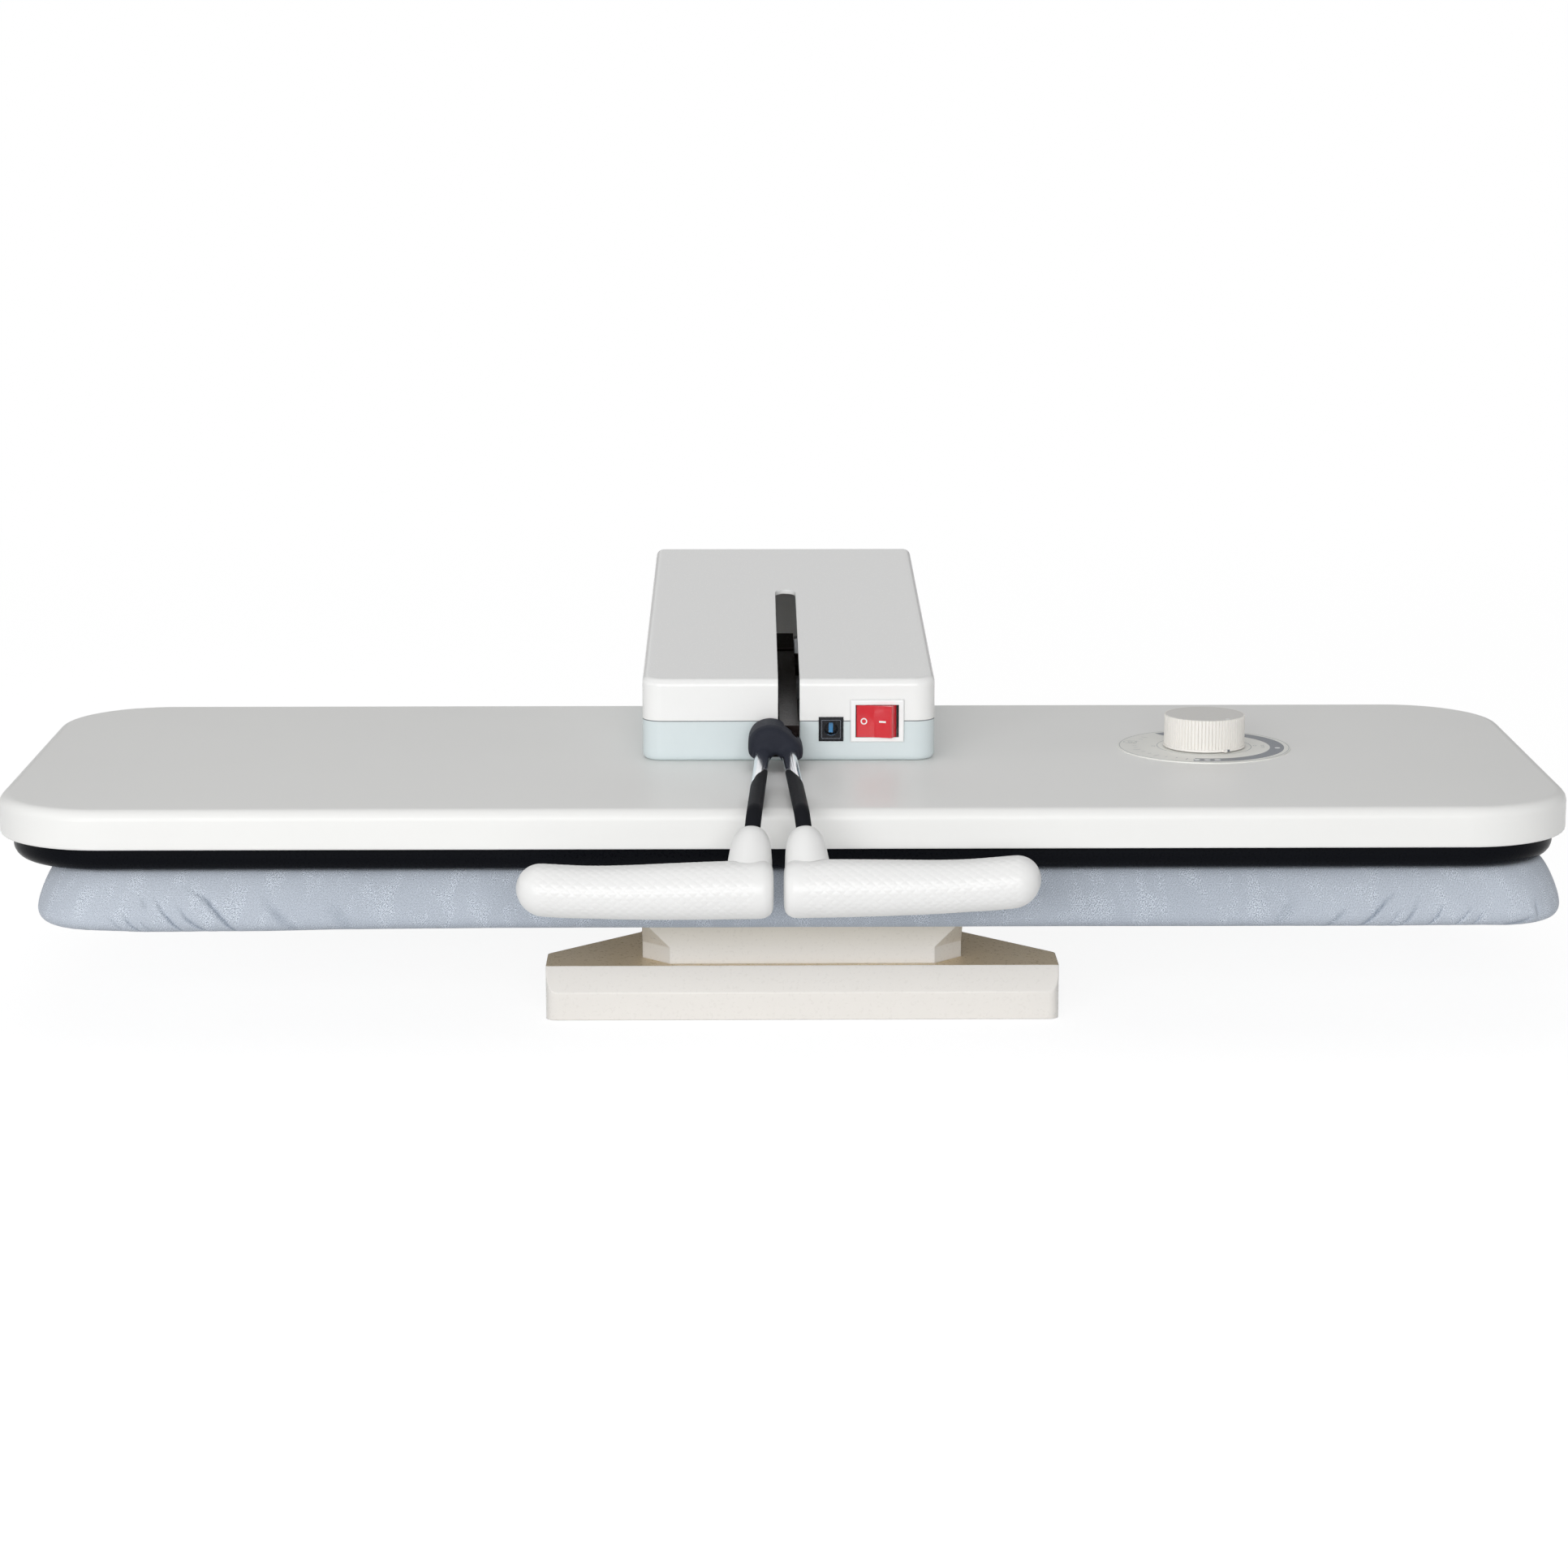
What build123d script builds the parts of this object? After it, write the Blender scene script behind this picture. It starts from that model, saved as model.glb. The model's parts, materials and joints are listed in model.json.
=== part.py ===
from build123d import *
import os
from math import cos, hypot, radians, sin

# Table-top steam press, closed, millimetres.
# Working frame: x to the right from the head's middle, y to the back from the cover's
# front edge, z up from the table. Every piece is moved back by middle_y when it is
# written, so that the origin is under the middle of the whole object's box.

# Head cover
cover_width = 1010.0
cover_depth = 368.0
cover_corner = 72.0
cover_top = 156.0
cover_bottom = 130.5
cover_wall = 1.2
cover_top_round = 7.0
cover_bottom_round = 1.5

# Heat-proof rim and hot plate
rim_half = 497.0
rim_setback = 9.0
rim_bottom = 114.6
rim_bottom_round = 9.0
rim_corner = 64.0
plate_half = 474.0
plate_front = 27.0
plate_back = 341.0
plate_corner = 58.0
plate_bottom = 114.0
plate_top = 121.0
steam_hole_radius = 2.0
steam_columns = 15
steam_rows = 4

# The board and base stand to the right of the head's middle line, as photographed
board_x = 10.5
base_x = 12.0
board_max_half = 491.0
board_corner = 48.0
board_bottom = 74.0
board_top = 113.6
board_front = 10.0
board_back = 358.0
cloth_thickness = 1.6
hem_width = 42.0
panel_half = 464.0
panel_thickness = 1.2
panel_hole_radius = 5.0

# Base shell: front wing, waist and rear wing
shell_bottom = 0.6
base_top = 35.0
base_half = 167.8
base_front = 71.8
base_back = 470.0
wing_depth = 42.2
waist_half = 107.0
bevel_low = 18.8
bevel_in = 8.6
base_wall = 3.5
frame_top = 31.5
frame_bottom = 5.0
beam_depth = 30.0
foot_radius = 15.0

# Pedestal between base and board
pedestal_half = 105.0
pedestal_front = 85.0
pedestal_back = 300.0
pedestal_chamfer = 18.4
chamfer_stop = 46.0
pedestal_wall = 3.5

# Console on the head
console_x = 4.0
console_front = 157.0
console_back = 485.0
console_half_front = 97.8
console_half_back = 94.0
console_corner, console_rear_corner = 14.0, 6.0
console_seam = cover_top + 27.1
seam_groove = 0.35
roof_front = cover_top + 55.0
roof_back = cover_top + 97.0
console_wall = 3.0
console_drop = 12.0
console_foot_round = 4.0
roof_round = 5.0
slot_width = 14.4
slot_low = cover_top + 8.5
slot_back = 372.0
slot_clear = 64.0

# Hinge of the head, pivot of the lever and fulcrum of its tail (y, z)
hinge_y, hinge_z = 445.0, cover_top + 12.0
lever_y, lever_z = 385.0, cover_top + 26.0
fulcrum_y, fulcrum_z = 421.0, cover_top + 32.0
hinge_pin_radius = 6.0
groove_radius = 5.4
bush_radius = 8.0
spring_wire, spring_mean = 1.8, 10.0
bush_flange_radius = 10.5
lever_pin_radius = 4.0
fulcrum_pin_radius = 4.0
running_gap = 0.05
lug_inner, lug_outer = 7.0, 13.0
cheek_inner, cheek_outer = 15.0, 18.0
side_plate_inner, side_plate_outer = 42.0, 47.0
tower_front, tower_back = 402.0, 442.0
tower_plate_top = 37.5

# Handle: the boot sits to the left of the slot, as photographed
handle_x = -5.0
boot_half = 18.1
boot_front, boot_back = 124.0, 153.0
boot_low, boot_high = cover_top + 6.5, cover_top + 32.5
boot_shoulder_round, boot_foot_round, boot_front_round, boot_back_round = 12.0, 7.0, 4.0, 2.0
sleeve_radius, sleeve_length = 6.8, 15.0
lever_thickness = 12.8
lever_side_gap = 0.3
washer_radius = 8.0
tail_slot_half, tail_slot_radius = 3.6, 5.4
rod_radius = 4.9
rod_half_back, rod_half_front = 8.0, 15.5
rod_back_y, rod_back_z = 140.0, cover_top + 12.4
rod_bend_y, rod_bend_z = -36.0, cover_top + 4.65
grip_y, grip_z = -74.0, cover_top - 34.0
elbow_half = 18.8
elbow_start_share = 0.31
elbow_profile = ((0, 6.6), (0.03, 8.3), (0.1, 10.2), (0.26, 12.2), (0.58, 13.8), (1.0, 14.8))
grip_gap_half = 3.1
grip_length = 157.4
grip_radius = 17.9
inner_round = 8.0
grip_roll = 0.88
tip_radius = 16.2

# Switch, socket and knob
switch_x, switch_z = 62.8, cover_top + 27.4
bezel_width, bezel_height, bezel_thickness = 35.6, 28.3, 2.2
rocker_tilt = 12.0
rocker_height = 21.4
rocker_pivot_depth = 6.0
rocker_trunnion = 1.2
rocker_trunnion_radius = 1.5
rocker_outline = ((-11.8, -10.5), (0, -9.7), (11.8, -10.5), (13.9, -3.9), (13.0, 1.5), (3.5, 5.0), (-3.5, 5.0),
                  (-13.0, 1.5), (-13.9, -3.9))
bezel_round, rocker_round = 0.8, 1.0
switch_body_depth = 24.0
switch_well_half = 14.4
socket_x, socket_z = 32.1, cover_top + 21.8
socket_width = 16.4
socket_bore_radius = 4.5
socket_bore_depth = 12.0
dial_x, dial_y = 286.5, 203.0
dial_radius = 58.5
dial_thickness = 0.8
knob_radius = 27.2
knob_top = cover_top + 22.9
knob_ribs = 72
pointer_angle = 23.0
cap_radius = 26.2
cap_depth = 0.8
shaft_radius = 3.0
shaft_top = knob_top - 4.0

# Rear wall fittings
filler_x, filler_z = console_x - 55.0, cover_top + 62.0
filler_radius = 15.0
neck_radius = 11.0
neck_bore = 8.0
gland_x, gland_z = console_x + 58.0, cover_top + 42.0
rear_fitting_reach = 12.0
gland_thread_radius = 7.0
gland_bore = 4.2

# Steam tube from the pump down to the chamber on the hot plate
tube_x, tube_y = console_x + 74.0, 186.0
pump_shift, pump_height = 76.0, 13.0

front_y = grip_y - grip_radius
back_y = console_back + rear_fitting_reach
middle_y = (front_y + back_y) / 2


# Shared helpers
def block(x0, x1, y0, y1, z0, z1):
    centre = Pos((x0 + x1) / 2, (y0 + y1) / 2, (z0 + z1) / 2)
    return centre * Box(x1 - x0, y1 - y0, z1 - z0)


def round_block(x_mid, half, y0, y1, z0, z1, corner):
    outline = Pos(x_mid, (y0 + y1) / 2, z0) * RectangleRounded(2 * half, y1 - y0, corner)
    return extrude(outline, amount=z1 - z0)


def rod_z(x, y, z0, z1, radius):
    return Pos(x, y, (z0 + z1) / 2) * Cylinder(radius, z1 - z0)


def rod_x(x0, x1, y, z, radius):
    return Pos((x0 + x1) / 2, y, z) * Rot(0, 90, 0) * Cylinder(radius, x1 - x0)


def rod_y(x, y0, y1, z, radius):
    return Pos(x, (y0 + y1) / 2, z) * Rot(90, 0, 0) * Cylinder(radius, y1 - y0)


def side_plate(points, x0, x1):
    # A plate with its outline given in y and z, as thick as from x0 to x1
    face = make_face(Polyline(*[(x0, y, z) for y, z in points], close=True))
    return extrude(face, amount=x1 - x0, dir=(1, 0, 0))


def tube(points, radii, radius):
    path = FilletPolyline(*points, radius=radii)
    start = Plane(path @ 0, z_dir=path % 0)
    return sweep(start * Circle(radius), path=path)


def group(parts):
    return Compound(children=[solid for part in parts for solid in part.solids()])


def mirror_pair(make):
    return [make(-1), make(1)]


# Base
def base_outline(inset):
    wing_y = base_front + wing_depth
    cut = base_half - waist_half
    half = [
        (base_half, base_front),
        (base_half, wing_y),
        (waist_half, wing_y + cut),
        (waist_half, base_back - wing_depth - cut),
        (base_half, base_back - wing_depth),
        (base_half, base_back),
    ]
    points = half + [(-x, y) for x, y in reversed(half)]
    face = make_face(Polyline(*points, close=True))
    face = fillet(face.vertices(), 7.0)
    if inset:
        face = offset(face, -inset)
    return Pos(base_x, 0, 0) * face


def base_bevel(y, outward):
    # The wedge that is cut off the top of the front or rear edge
    top = base_top + 1.0
    inner_y = y - outward * bevel_in / (base_top - bevel_low) * (top - bevel_low)
    points = [(y + outward, bevel_low), (y, bevel_low), (inner_y, top), (y + outward, top)]
    return side_plate(points, base_x - base_half - 1, base_x + base_half + 1)


def make_base_shell():
    shell = extrude(Pos(0, 0, shell_bottom) * base_outline(0), amount=base_top - shell_bottom)
    shell -= base_bevel(base_front, -1)
    shell -= base_bevel(base_back, 1)
    hollow = extrude(base_outline(base_wall), amount=frame_top)
    x0, x1 = base_x - base_half, base_x + base_half
    ramp = base_wall + bevel_in
    under_bevel_z = bevel_low - 2
    hollow -= block(x0, x1, base_front, base_front + ramp, under_bevel_z, base_top)
    hollow -= block(x0, x1, base_back - ramp, base_back, under_bevel_z, base_top)
    shell -= hollow
    shell -= block(base_x - 82, base_x + 82, 108, 282, frame_top - 1, base_top + 1)
    shell -= block(console_x - 50, console_x + 50, 396, 447, frame_top - 1, base_top + 1)
    return shell


def make_base_spine():
    y0, y1 = base_front + 8 + beam_depth, base_back - 8 - beam_depth
    outer = block(base_x - 45, base_x + 45, y0, y1, frame_bottom, frame_top)
    return outer - block(base_x - 42, base_x + 42, y0 - 1, y1 + 1, frame_bottom - 1, frame_top - 3)


def beam(y0):
    y1 = y0 + beam_depth
    top = bevel_low - 3
    outer = block(base_x - 155, base_x + 155, y0, y1, frame_bottom, top)
    outer += block(base_x - 45, base_x + 45, y0 + 6, y1 - 6, top, frame_top)
    return outer - block(base_x - 156, base_x + 156, y0 + 2, y1 - 2, frame_bottom + 2, top - 2)


def beam_starts():
    return [base_front + 8, base_back - 8 - beam_depth]


def foot_places():
    return [(base_x + side * 138, y + beam_depth / 2) for y in beam_starts() for side in (-1, 1)]


def make_rubber_feet():
    feet = []
    for x, y in foot_places():
        foot = rod_z(x, y, 0, frame_bottom, foot_radius)
        foot = fillet(foot.edges().group_by(Axis.Z)[0], 1.2)
        feet.append(foot - rod_z(x, y, -1, 2.6, 5.0) - rod_z(x, y, 0, frame_bottom + 1, 2.5))
    return group(feet)


def make_foot_screws():
    screws = []
    for x, y in foot_places():
        screws.append(rod_z(x, y, 0.6, 2.6, 4.6) + rod_z(x, y, 2.6, frame_bottom, 2.5))
    return group(screws)


def pedestal_corner(side):
    # The stopped chamfer: a vertical triangle whose top runs out at 45 degrees
    c = pedestal_chamfer
    edge = pedestal_half - c
    x0 = base_x + side * edge
    x1 = base_x + side * (pedestal_half + 1)
    y1 = pedestal_front + c + 1
    corners = [(x0, pedestal_front), (x0 - side, pedestal_front - 1), (x1, pedestal_front - 1), (x1, y1)]
    face = make_face(Polyline(*corners, close=True))
    prism = extrude(Pos(0, 0, base_top - 1) * face, amount=chamfer_stop + c + 8 - base_top)
    slope = Plane(origin=(x0, pedestal_front, chamfer_stop), z_dir=(-side, 1, 1))
    return split(prism, bisect_by=slope, keep=Keep.BOTTOM)


def make_pedestal_shell():
    top = board_bottom + cloth_thickness
    x0, x1 = base_x - pedestal_half, base_x + pedestal_half
    body = block(x0, x1, pedestal_front, pedestal_back, base_top, top)
    body = fillet(body.edges().filter_by(Axis.Z), 3.0)
    for side in (-1, 1):
        body -= pedestal_corner(side)
    inner = pedestal_half - pedestal_chamfer - pedestal_wall
    y0, y1 = pedestal_front + pedestal_wall, pedestal_back - pedestal_wall
    return body - block(base_x - inner, base_x + inner, y0, y1, base_top - 1, top + 1)


def make_board_bracket():
    top = board_bottom + cloth_thickness
    plate = block(base_x - 76, base_x + 76, 112, 278, top - 4, top)
    legs = []
    for side in (-1, 1):
        x0, x1 = sorted((base_x + side * 36, base_x + side * 40))
        legs.append(block(x0, x1, 118, 272, frame_top, top - 4))
    foot = block(base_x - 40, base_x + 40, 118, 272, frame_top, frame_top + 4)
    bracket = plate + legs[0] + legs[1] + foot
    for x, y in panel_screw_places():
        bracket -= rod_z(x, y, top - 5, top + 1, 3.0)
    return bracket


def panel_screw_places():
    return [(base_x + x, y) for x in (-60, 60) for y in (130, 195, 260)]


def make_panel_screws():
    top = board_bottom + cloth_thickness
    screws = []
    for x, y in panel_screw_places():
        head = rod_z(x, y, top - 8, top - 4, 5.5)
        screws.append(head + rod_z(x, y, top - 4, top + panel_thickness, 3.0))
    return group(screws)


def board_sections():
    # Height and inset from the widest outline: the cloth's side bulges and draws in
    return [(board_bottom, 9.0), (76.0, 3.8), (79.0, 1.0), (84.0, 0.0), (90.0, 0.8), (97.0, 2.8),
            (104.0, 5.8), (109.5, 8.9), (board_top, 12.0)]


def board_loft(inset, bottom, top):
    low, high = board_sections()[0][0], board_sections()[-1][0]
    faces = []
    for z, pull in board_sections():
        level = bottom + (z - low) * (top - bottom) / (high - low)
        half = board_max_half - pull - inset
        depth = (board_back - board_front) / 2 - pull - inset
        corner = board_corner - pull / 2 - inset
        outline = RectangleRounded(2 * half, 2 * depth, corner)
        faces.append(Pos(board_x, (board_front + board_back) / 2, level) * outline)
    return loft(faces)


def make_board_panel():
    bottom = board_bottom + cloth_thickness
    front, back = board_front + 22, board_back - 22
    panel = round_block(board_x, panel_half, front, back, bottom, bottom + panel_thickness, 45.0)
    holes = []
    for i in range(-10, 11):
        for j in range(-3, 4):
            x, y = board_x + 42 * i, (front + back) / 2 + 40 * j
            near_bracket = abs(x - base_x) < 92 and 98 < y < 292
            near_corner = abs(i) == 10 and abs(j) == 3
            if not near_bracket and not near_corner:
                holes.append(Pos(x, y, bottom - 1) * Circle(panel_hole_radius))
    panel -= extrude(Sketch() + holes, amount=panel_thickness + 2)
    for x, y in panel_screw_places():
        panel -= rod_z(x, y, bottom - 1, bottom + panel_thickness + 1, 3.0)
    return panel


def board_inside():
    return board_loft(cloth_thickness, board_bottom + cloth_thickness, board_top - cloth_thickness)


def make_board_pad():
    bottom = board_bottom + cloth_thickness
    panel_space = round_block(board_x, panel_half, board_front + 22, board_back - 22, bottom - 1,
                              bottom + panel_thickness, 45.0)
    return board_inside() - panel_space


def make_board_cover():
    cloth = board_loft(0, board_bottom, board_top) - board_inside()
    inset = board_sections()[0][1] + hem_width
    middle = round_block(board_x, board_max_half - inset, board_front + inset, board_back - inset,
                         board_bottom - 1, board_bottom + cloth_thickness + 0.5, 40.0)
    return cloth - middle


# Hinge tower and its pins
def lug_outline():
    return [(tower_front, tower_plate_top), (tower_back, tower_plate_top), (tower_back, 128), (457, 163),
            (447, 181), (427, 196), (414, 196), (tower_front, 165)]


def side_plate_outline():
    return [(tower_front, tower_plate_top), (tower_back, tower_plate_top), (tower_back, 128), (457, 163),
            (447, 180), (436, 178), (tower_front, 130)]


def make_hinge_tower():
    tower = block(console_x - 47, console_x + 47, 398, 446, frame_top, tower_plate_top)
    for side in (-1, 1):
        x0, x1 = sorted((console_x + side * lug_inner, console_x + side * lug_outer))
        tower += side_plate(lug_outline(), x0, x1)
        tower += rod_x(x0, x1, hinge_y, hinge_z, 13.0)
        x0, x1 = sorted((console_x + side * side_plate_inner, console_x + side * side_plate_outer))
        tower += side_plate(side_plate_outline(), x0, x1)
        tower += rod_x(x0, x1, hinge_y, hinge_z, 13.0)
    tower += block(console_x - 42, console_x + 42, 437, tower_back, tower_plate_top, 128)
    tower += block(console_x - 42, console_x + 42, tower_front, tower_front + 5, tower_plate_top, 118)
    tower -= rod_x(console_x - 60, console_x + 60, hinge_y, hinge_z, hinge_pin_radius)
    tower -= rod_x(console_x - 15, console_x + 15, fulcrum_y, fulcrum_z, fulcrum_pin_radius)
    for x, y in tower_bolt_places():
        tower -= rod_z(x, y, frame_top - 1, tower_plate_top + 1, 3.0)
    return tower


def tower_bolt_places():
    return [(console_x + side * 27, 422) for side in (-1, 1)]


def make_tower_bolts():
    bolts = []
    for x, y in tower_bolt_places():
        head = extrude(Pos(x, y, tower_plate_top) * RegularPolygon(6.0, 6), amount=4.5)
        bolts.append(head + rod_z(x, y, frame_top, tower_plate_top, 3.0))
    return group(bolts)


def make_tower_shroud():
    top = cover_top - 20
    outer = round_block(console_x, 57, 392, 449, base_top, top, 9.0)
    outer = fillet(outer.edges().group_by(Axis.Z)[-1], 2.0)
    return outer - round_block(console_x, 54, 395, 446, base_top - 1, top + 1, 6.0)


def circlip_span(side):
    outer_face = console_x + side * side_plate_outer
    return sorted((outer_face + side * 0.2, outer_face + side * 1.4))


def make_hinge_pin():
    reach = side_plate_outer + 3.0
    pin = rod_x(console_x - reach, console_x + reach, hinge_y, hinge_z, hinge_pin_radius)
    for side in (-1, 1):
        x0, x1 = circlip_span(side)
        groove = rod_x(x0, x1, hinge_y, hinge_z, hinge_pin_radius + 1)
        pin -= groove - rod_x(x0, x1, hinge_y, hinge_z, groove_radius)
    return pin


def make_hinge_circlips():
    clips = []
    for side in (-1, 1):
        x0, x1 = circlip_span(side)
        ring = rod_x(x0, x1, hinge_y, hinge_z, 8.4) - rod_x(x0 - 1, x1 + 1, hinge_y, hinge_z, groove_radius)
        clips.append(ring - block(x0 - 1, x1 + 1, hinge_y - 2.6, hinge_y + 2.6, hinge_z, hinge_z + 10))
    return group(clips)


def make_hinge_washers():
    washers = []
    for side in (-1, 1):
        x0, x1 = sorted((console_x + side * lug_outer, console_x + side * (cheek_inner - 0.2)))
        ring = rod_x(x0, x1, hinge_y, hinge_z, 11.0)
        washers.append(ring - rod_x(x0 - 1, x1 + 1, hinge_y, hinge_z, hinge_pin_radius + running_gap))
    return group(washers)


def make_fulcrum_pin():
    reach = lug_outer + 1.0
    return rod_x(console_x - reach, console_x + reach, fulcrum_y, fulcrum_z, fulcrum_pin_radius)


def lift_spring(side):
    # Torsion spring round the hinge pin: one leg under the head arm's tab, one against the tower
    wire, mean, turns = spring_wire, spring_mean, 3.75
    x_start, x_end = 23.0, 39.0
    coil_path = Helix((x_end - x_start) / turns, x_end - x_start, mean)
    coil_start = Plane(coil_path @ 0, z_dir=coil_path % 0)
    coil = sweep(coil_start * Circle(wire), path=coil_path)
    # The helix climbs along z from +x, and is turned to climb along +x from the bottom
    placed = Pos(console_x + x_start, hinge_y, hinge_z) * Rot(0, 90, 0) * coil
    leg_y0 = hinge_y - 32
    front_leg = rod_y(console_x + x_start, leg_y0, hinge_y, hinge_z - mean, wire)
    rear_leg = rod_z(console_x + x_end, hinge_y - mean, 132, hinge_z, wire)
    joint_a = Pos(console_x + x_start, hinge_y, hinge_z - mean) * Sphere(wire)
    joint_b = Pos(console_x + x_end, hinge_y - mean, hinge_z) * Sphere(wire)
    spring = placed + front_leg + rear_leg + joint_a + joint_b
    if side < 0:
        spring = mirror(spring, about=Plane(origin=(console_x, 0, 0), z_dir=(1, 0, 0)))
    return spring


def make_lift_springs():
    return group(mirror_pair(lift_spring))


# Head
def make_head_cover():
    outer = round_block(0, cover_width / 2, 0, cover_depth, cover_bottom, cover_top, cover_corner)
    outer = fillet(outer.edges().group_by(Axis.Z)[-1], cover_top_round)
    outer = fillet(outer.edges().group_by(Axis.Z)[0], cover_bottom_round)
    inner = round_block(0, cover_width / 2 - cover_wall, cover_wall, cover_depth - cover_wall,
                        cover_bottom - 1, cover_top - cover_wall, cover_corner - cover_wall)
    inner = fillet(inner.edges().group_by(Axis.Z)[-1], cover_top_round - cover_wall)
    cover = outer - inner
    for x, y in arm_bolt_places():
        cover -= rod_z(x, y, cover_top - 5, cover_top + 1, 4.0)
    cover -= rod_z(dial_x, dial_y, cover_top - 5, cover_top + 1, 8.0)
    return cover - rod_z(tube_x, tube_y, cover_top - 5, cover_top + 1, 5.0)


def make_insulating_rim():
    front, back = rim_setback, cover_depth - rim_setback
    outer = round_block(0, rim_half, front, back, rim_bottom, cover_bottom, rim_corner)
    outer = fillet(outer.edges().group_by(Axis.Z)[0], rim_bottom_round)
    tongue = round_block(0, rim_half - 4, front + 4, back - 4, cover_bottom, cover_bottom + 6, rim_corner - 4)
    gap = 0.5
    inner = round_block(0, plate_half + gap, plate_front - gap, plate_back + gap,
                        rim_bottom - 1, cover_bottom + 7, plate_corner + gap)
    return outer + tongue - inner


def post_places():
    outer = [(x, y) for x in (-385, 385) for y in (105, 263)]
    return outer + [(-205, 184), (205, 184)]


def make_hot_plate():
    plate = round_block(0, plate_half, plate_front, plate_back, plate_bottom, plate_top, plate_corner)
    plate = fillet(plate.edges().group_by(Axis.Z)[0], 2.0)
    spots = []
    for i in range(steam_columns):
        for j in range(steam_rows):
            x = (i - (steam_columns - 1) / 2) * 56.0
            y = (plate_front + plate_back) / 2 + (j - (steam_rows - 1) / 2) * 62.0
            blocked = any(hypot(x - a, y - b) < 12 for a, b in post_places() + arm_bolt_places())
            if not blocked and hypot(x - dial_x, y - dial_y) > 24:
                spots.append(Pos(x, y, plate_bottom - 1) * Circle(steam_hole_radius))
    return plate - extrude(Sketch() + spots, amount=plate_top - plate_bottom + 2)


def make_heating_element():
    z = plate_top + 4.0
    corners = [(-30, 268, z), (-30, 312, z), (-430, 312, z), (-430, 56, z), (430, 56, z), (430, 312, z),
               (30, 312, z), (30, 268, z)]
    element = tube(corners, 26.0, 4.0)
    for x in (-30, 30):
        element += block(x - 3, x + 3, 258, 268, z - 0.8, z + 0.8)
    return element


def make_steam_chamber():
    lid = round_block(0, 150, 138, 212, plate_top, plate_top + 9, 12.0)
    lid -= round_block(0, 146, 142, 208, plate_top - 1, plate_top + 6, 9.0)
    return lid - rod_z(tube_x, tube_y, plate_top, plate_top + 10, 3.0)


def make_insulation_board():
    z0, z1 = plate_top + 12, plate_top + 16
    board = round_block(0, plate_half - 12, plate_front + 12, plate_back - 12, z0, z1, 40.0)
    for x, y in post_places() + arm_bolt_places():
        board -= rod_z(x, y, z0 - 1, z1 + 1, 8.0)
    board -= rod_z(dial_x, dial_y, z0 - 1, z1 + 1, 20.0)
    board -= rod_z(tube_x, tube_y, z0 - 1, z1 + 1, 5.0)
    return board - block(-45, 45, 250, 285, z0 - 1, z1 + 1)


def make_mounting_posts():
    top = cover_top - cover_wall
    posts = [rod_z(x, y, plate_top, top, 5.0) for x, y in post_places()]
    for x, y in arm_bolt_places():
        posts.append(rod_z(x, y, plate_top, top, 7.0) - rod_z(x, y, top - 12, top + 1, 4.0))
    return group(posts)


def arm_bolt_places():
    return [(console_x + side * 46, y) for y in (222, 330) for side in (-1, 1)]


def cheek_outline():
    z0 = cover_top + 4
    return [(296, z0), (366, z0), (374, hinge_z - 13), (hinge_y, hinge_z - 13), (hinge_y + 12.9, hinge_z),
            (hinge_y, hinge_z + 13), (410, cover_top + 44), (372, cover_top + 42), (320, cover_top + 22),
            (296, cover_top + 12)]


def make_head_arm():
    arm = round_block(console_x, 60, 196, 366, cover_top, cover_top + 4, 10.0)
    for side in (-1, 1):
        x0, x1 = sorted((console_x + side * cheek_inner, console_x + side * cheek_outer))
        arm += side_plate(cheek_outline(), x0, x1)
        arm += rod_x(x0, x1, hinge_y, hinge_z, 13.0)
        x0, x1 = sorted((console_x + side * cheek_outer, console_x + side * 36))
        arm += block(x0, x1, 406, 426, hinge_z - 7.6, hinge_z - 4.6)
    arm -= rod_x(console_x - 20, console_x + 20, hinge_y, hinge_z, bush_radius)
    arm -= rod_x(console_x - 20, console_x + 20, lever_y, lever_z, lever_pin_radius)
    for x, y in arm_bolt_places():
        arm -= rod_z(x, y, cover_top - 1, cover_top + 5, 4.0)
    return arm


def make_hinge_bushes():
    bushes = []
    for side in (-1, 1):
        x0, x1 = sorted((console_x + side * cheek_inner, console_x + side * (cheek_outer + 2)))
        flange0, flange1 = sorted((console_x + side * cheek_outer, console_x + side * (cheek_outer + 2)))
        bush = rod_x(x0, x1, hinge_y, hinge_z, bush_radius)
        bush += rod_x(flange0, flange1, hinge_y, hinge_z, bush_flange_radius)
        bushes.append(bush - rod_x(x0 - 1, x1 + 1, hinge_y, hinge_z, hinge_pin_radius + running_gap))
    return group(bushes)


def make_lever_pin():
    pin = rod_x(console_x - cheek_outer, console_x + cheek_outer, lever_y, lever_z, lever_pin_radius)
    for side in (-1, 1):
        x0, x1 = sorted((console_x + side * cheek_outer, console_x + side * (cheek_outer + 2.5)))
        pin += rod_x(x0, x1, lever_y, lever_z, lever_pin_radius + 2.5)
    return pin


def make_lever_washers():
    washers = []
    for side in (-1, 1):
        x0, x1 = sorted((console_x + side * (lever_thickness / 2 + lever_side_gap), console_x + side * cheek_inner))
        ring = rod_x(x0, x1, lever_y, lever_z, washer_radius)
        washers.append(ring - rod_x(x0 - 1, x1 + 1, lever_y, lever_z, lever_pin_radius))
    return group(washers)


def make_arm_bolts():
    bolts = []
    for x, y in arm_bolt_places():
        head = extrude(Pos(x, y, cover_top + 4) * RegularPolygon(7.5, 6), amount=5.5)
        bolts.append(head + rod_z(x, y, cover_top - cover_wall - 12, cover_top + 4, 4.0))
    return group(bolts)


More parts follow.
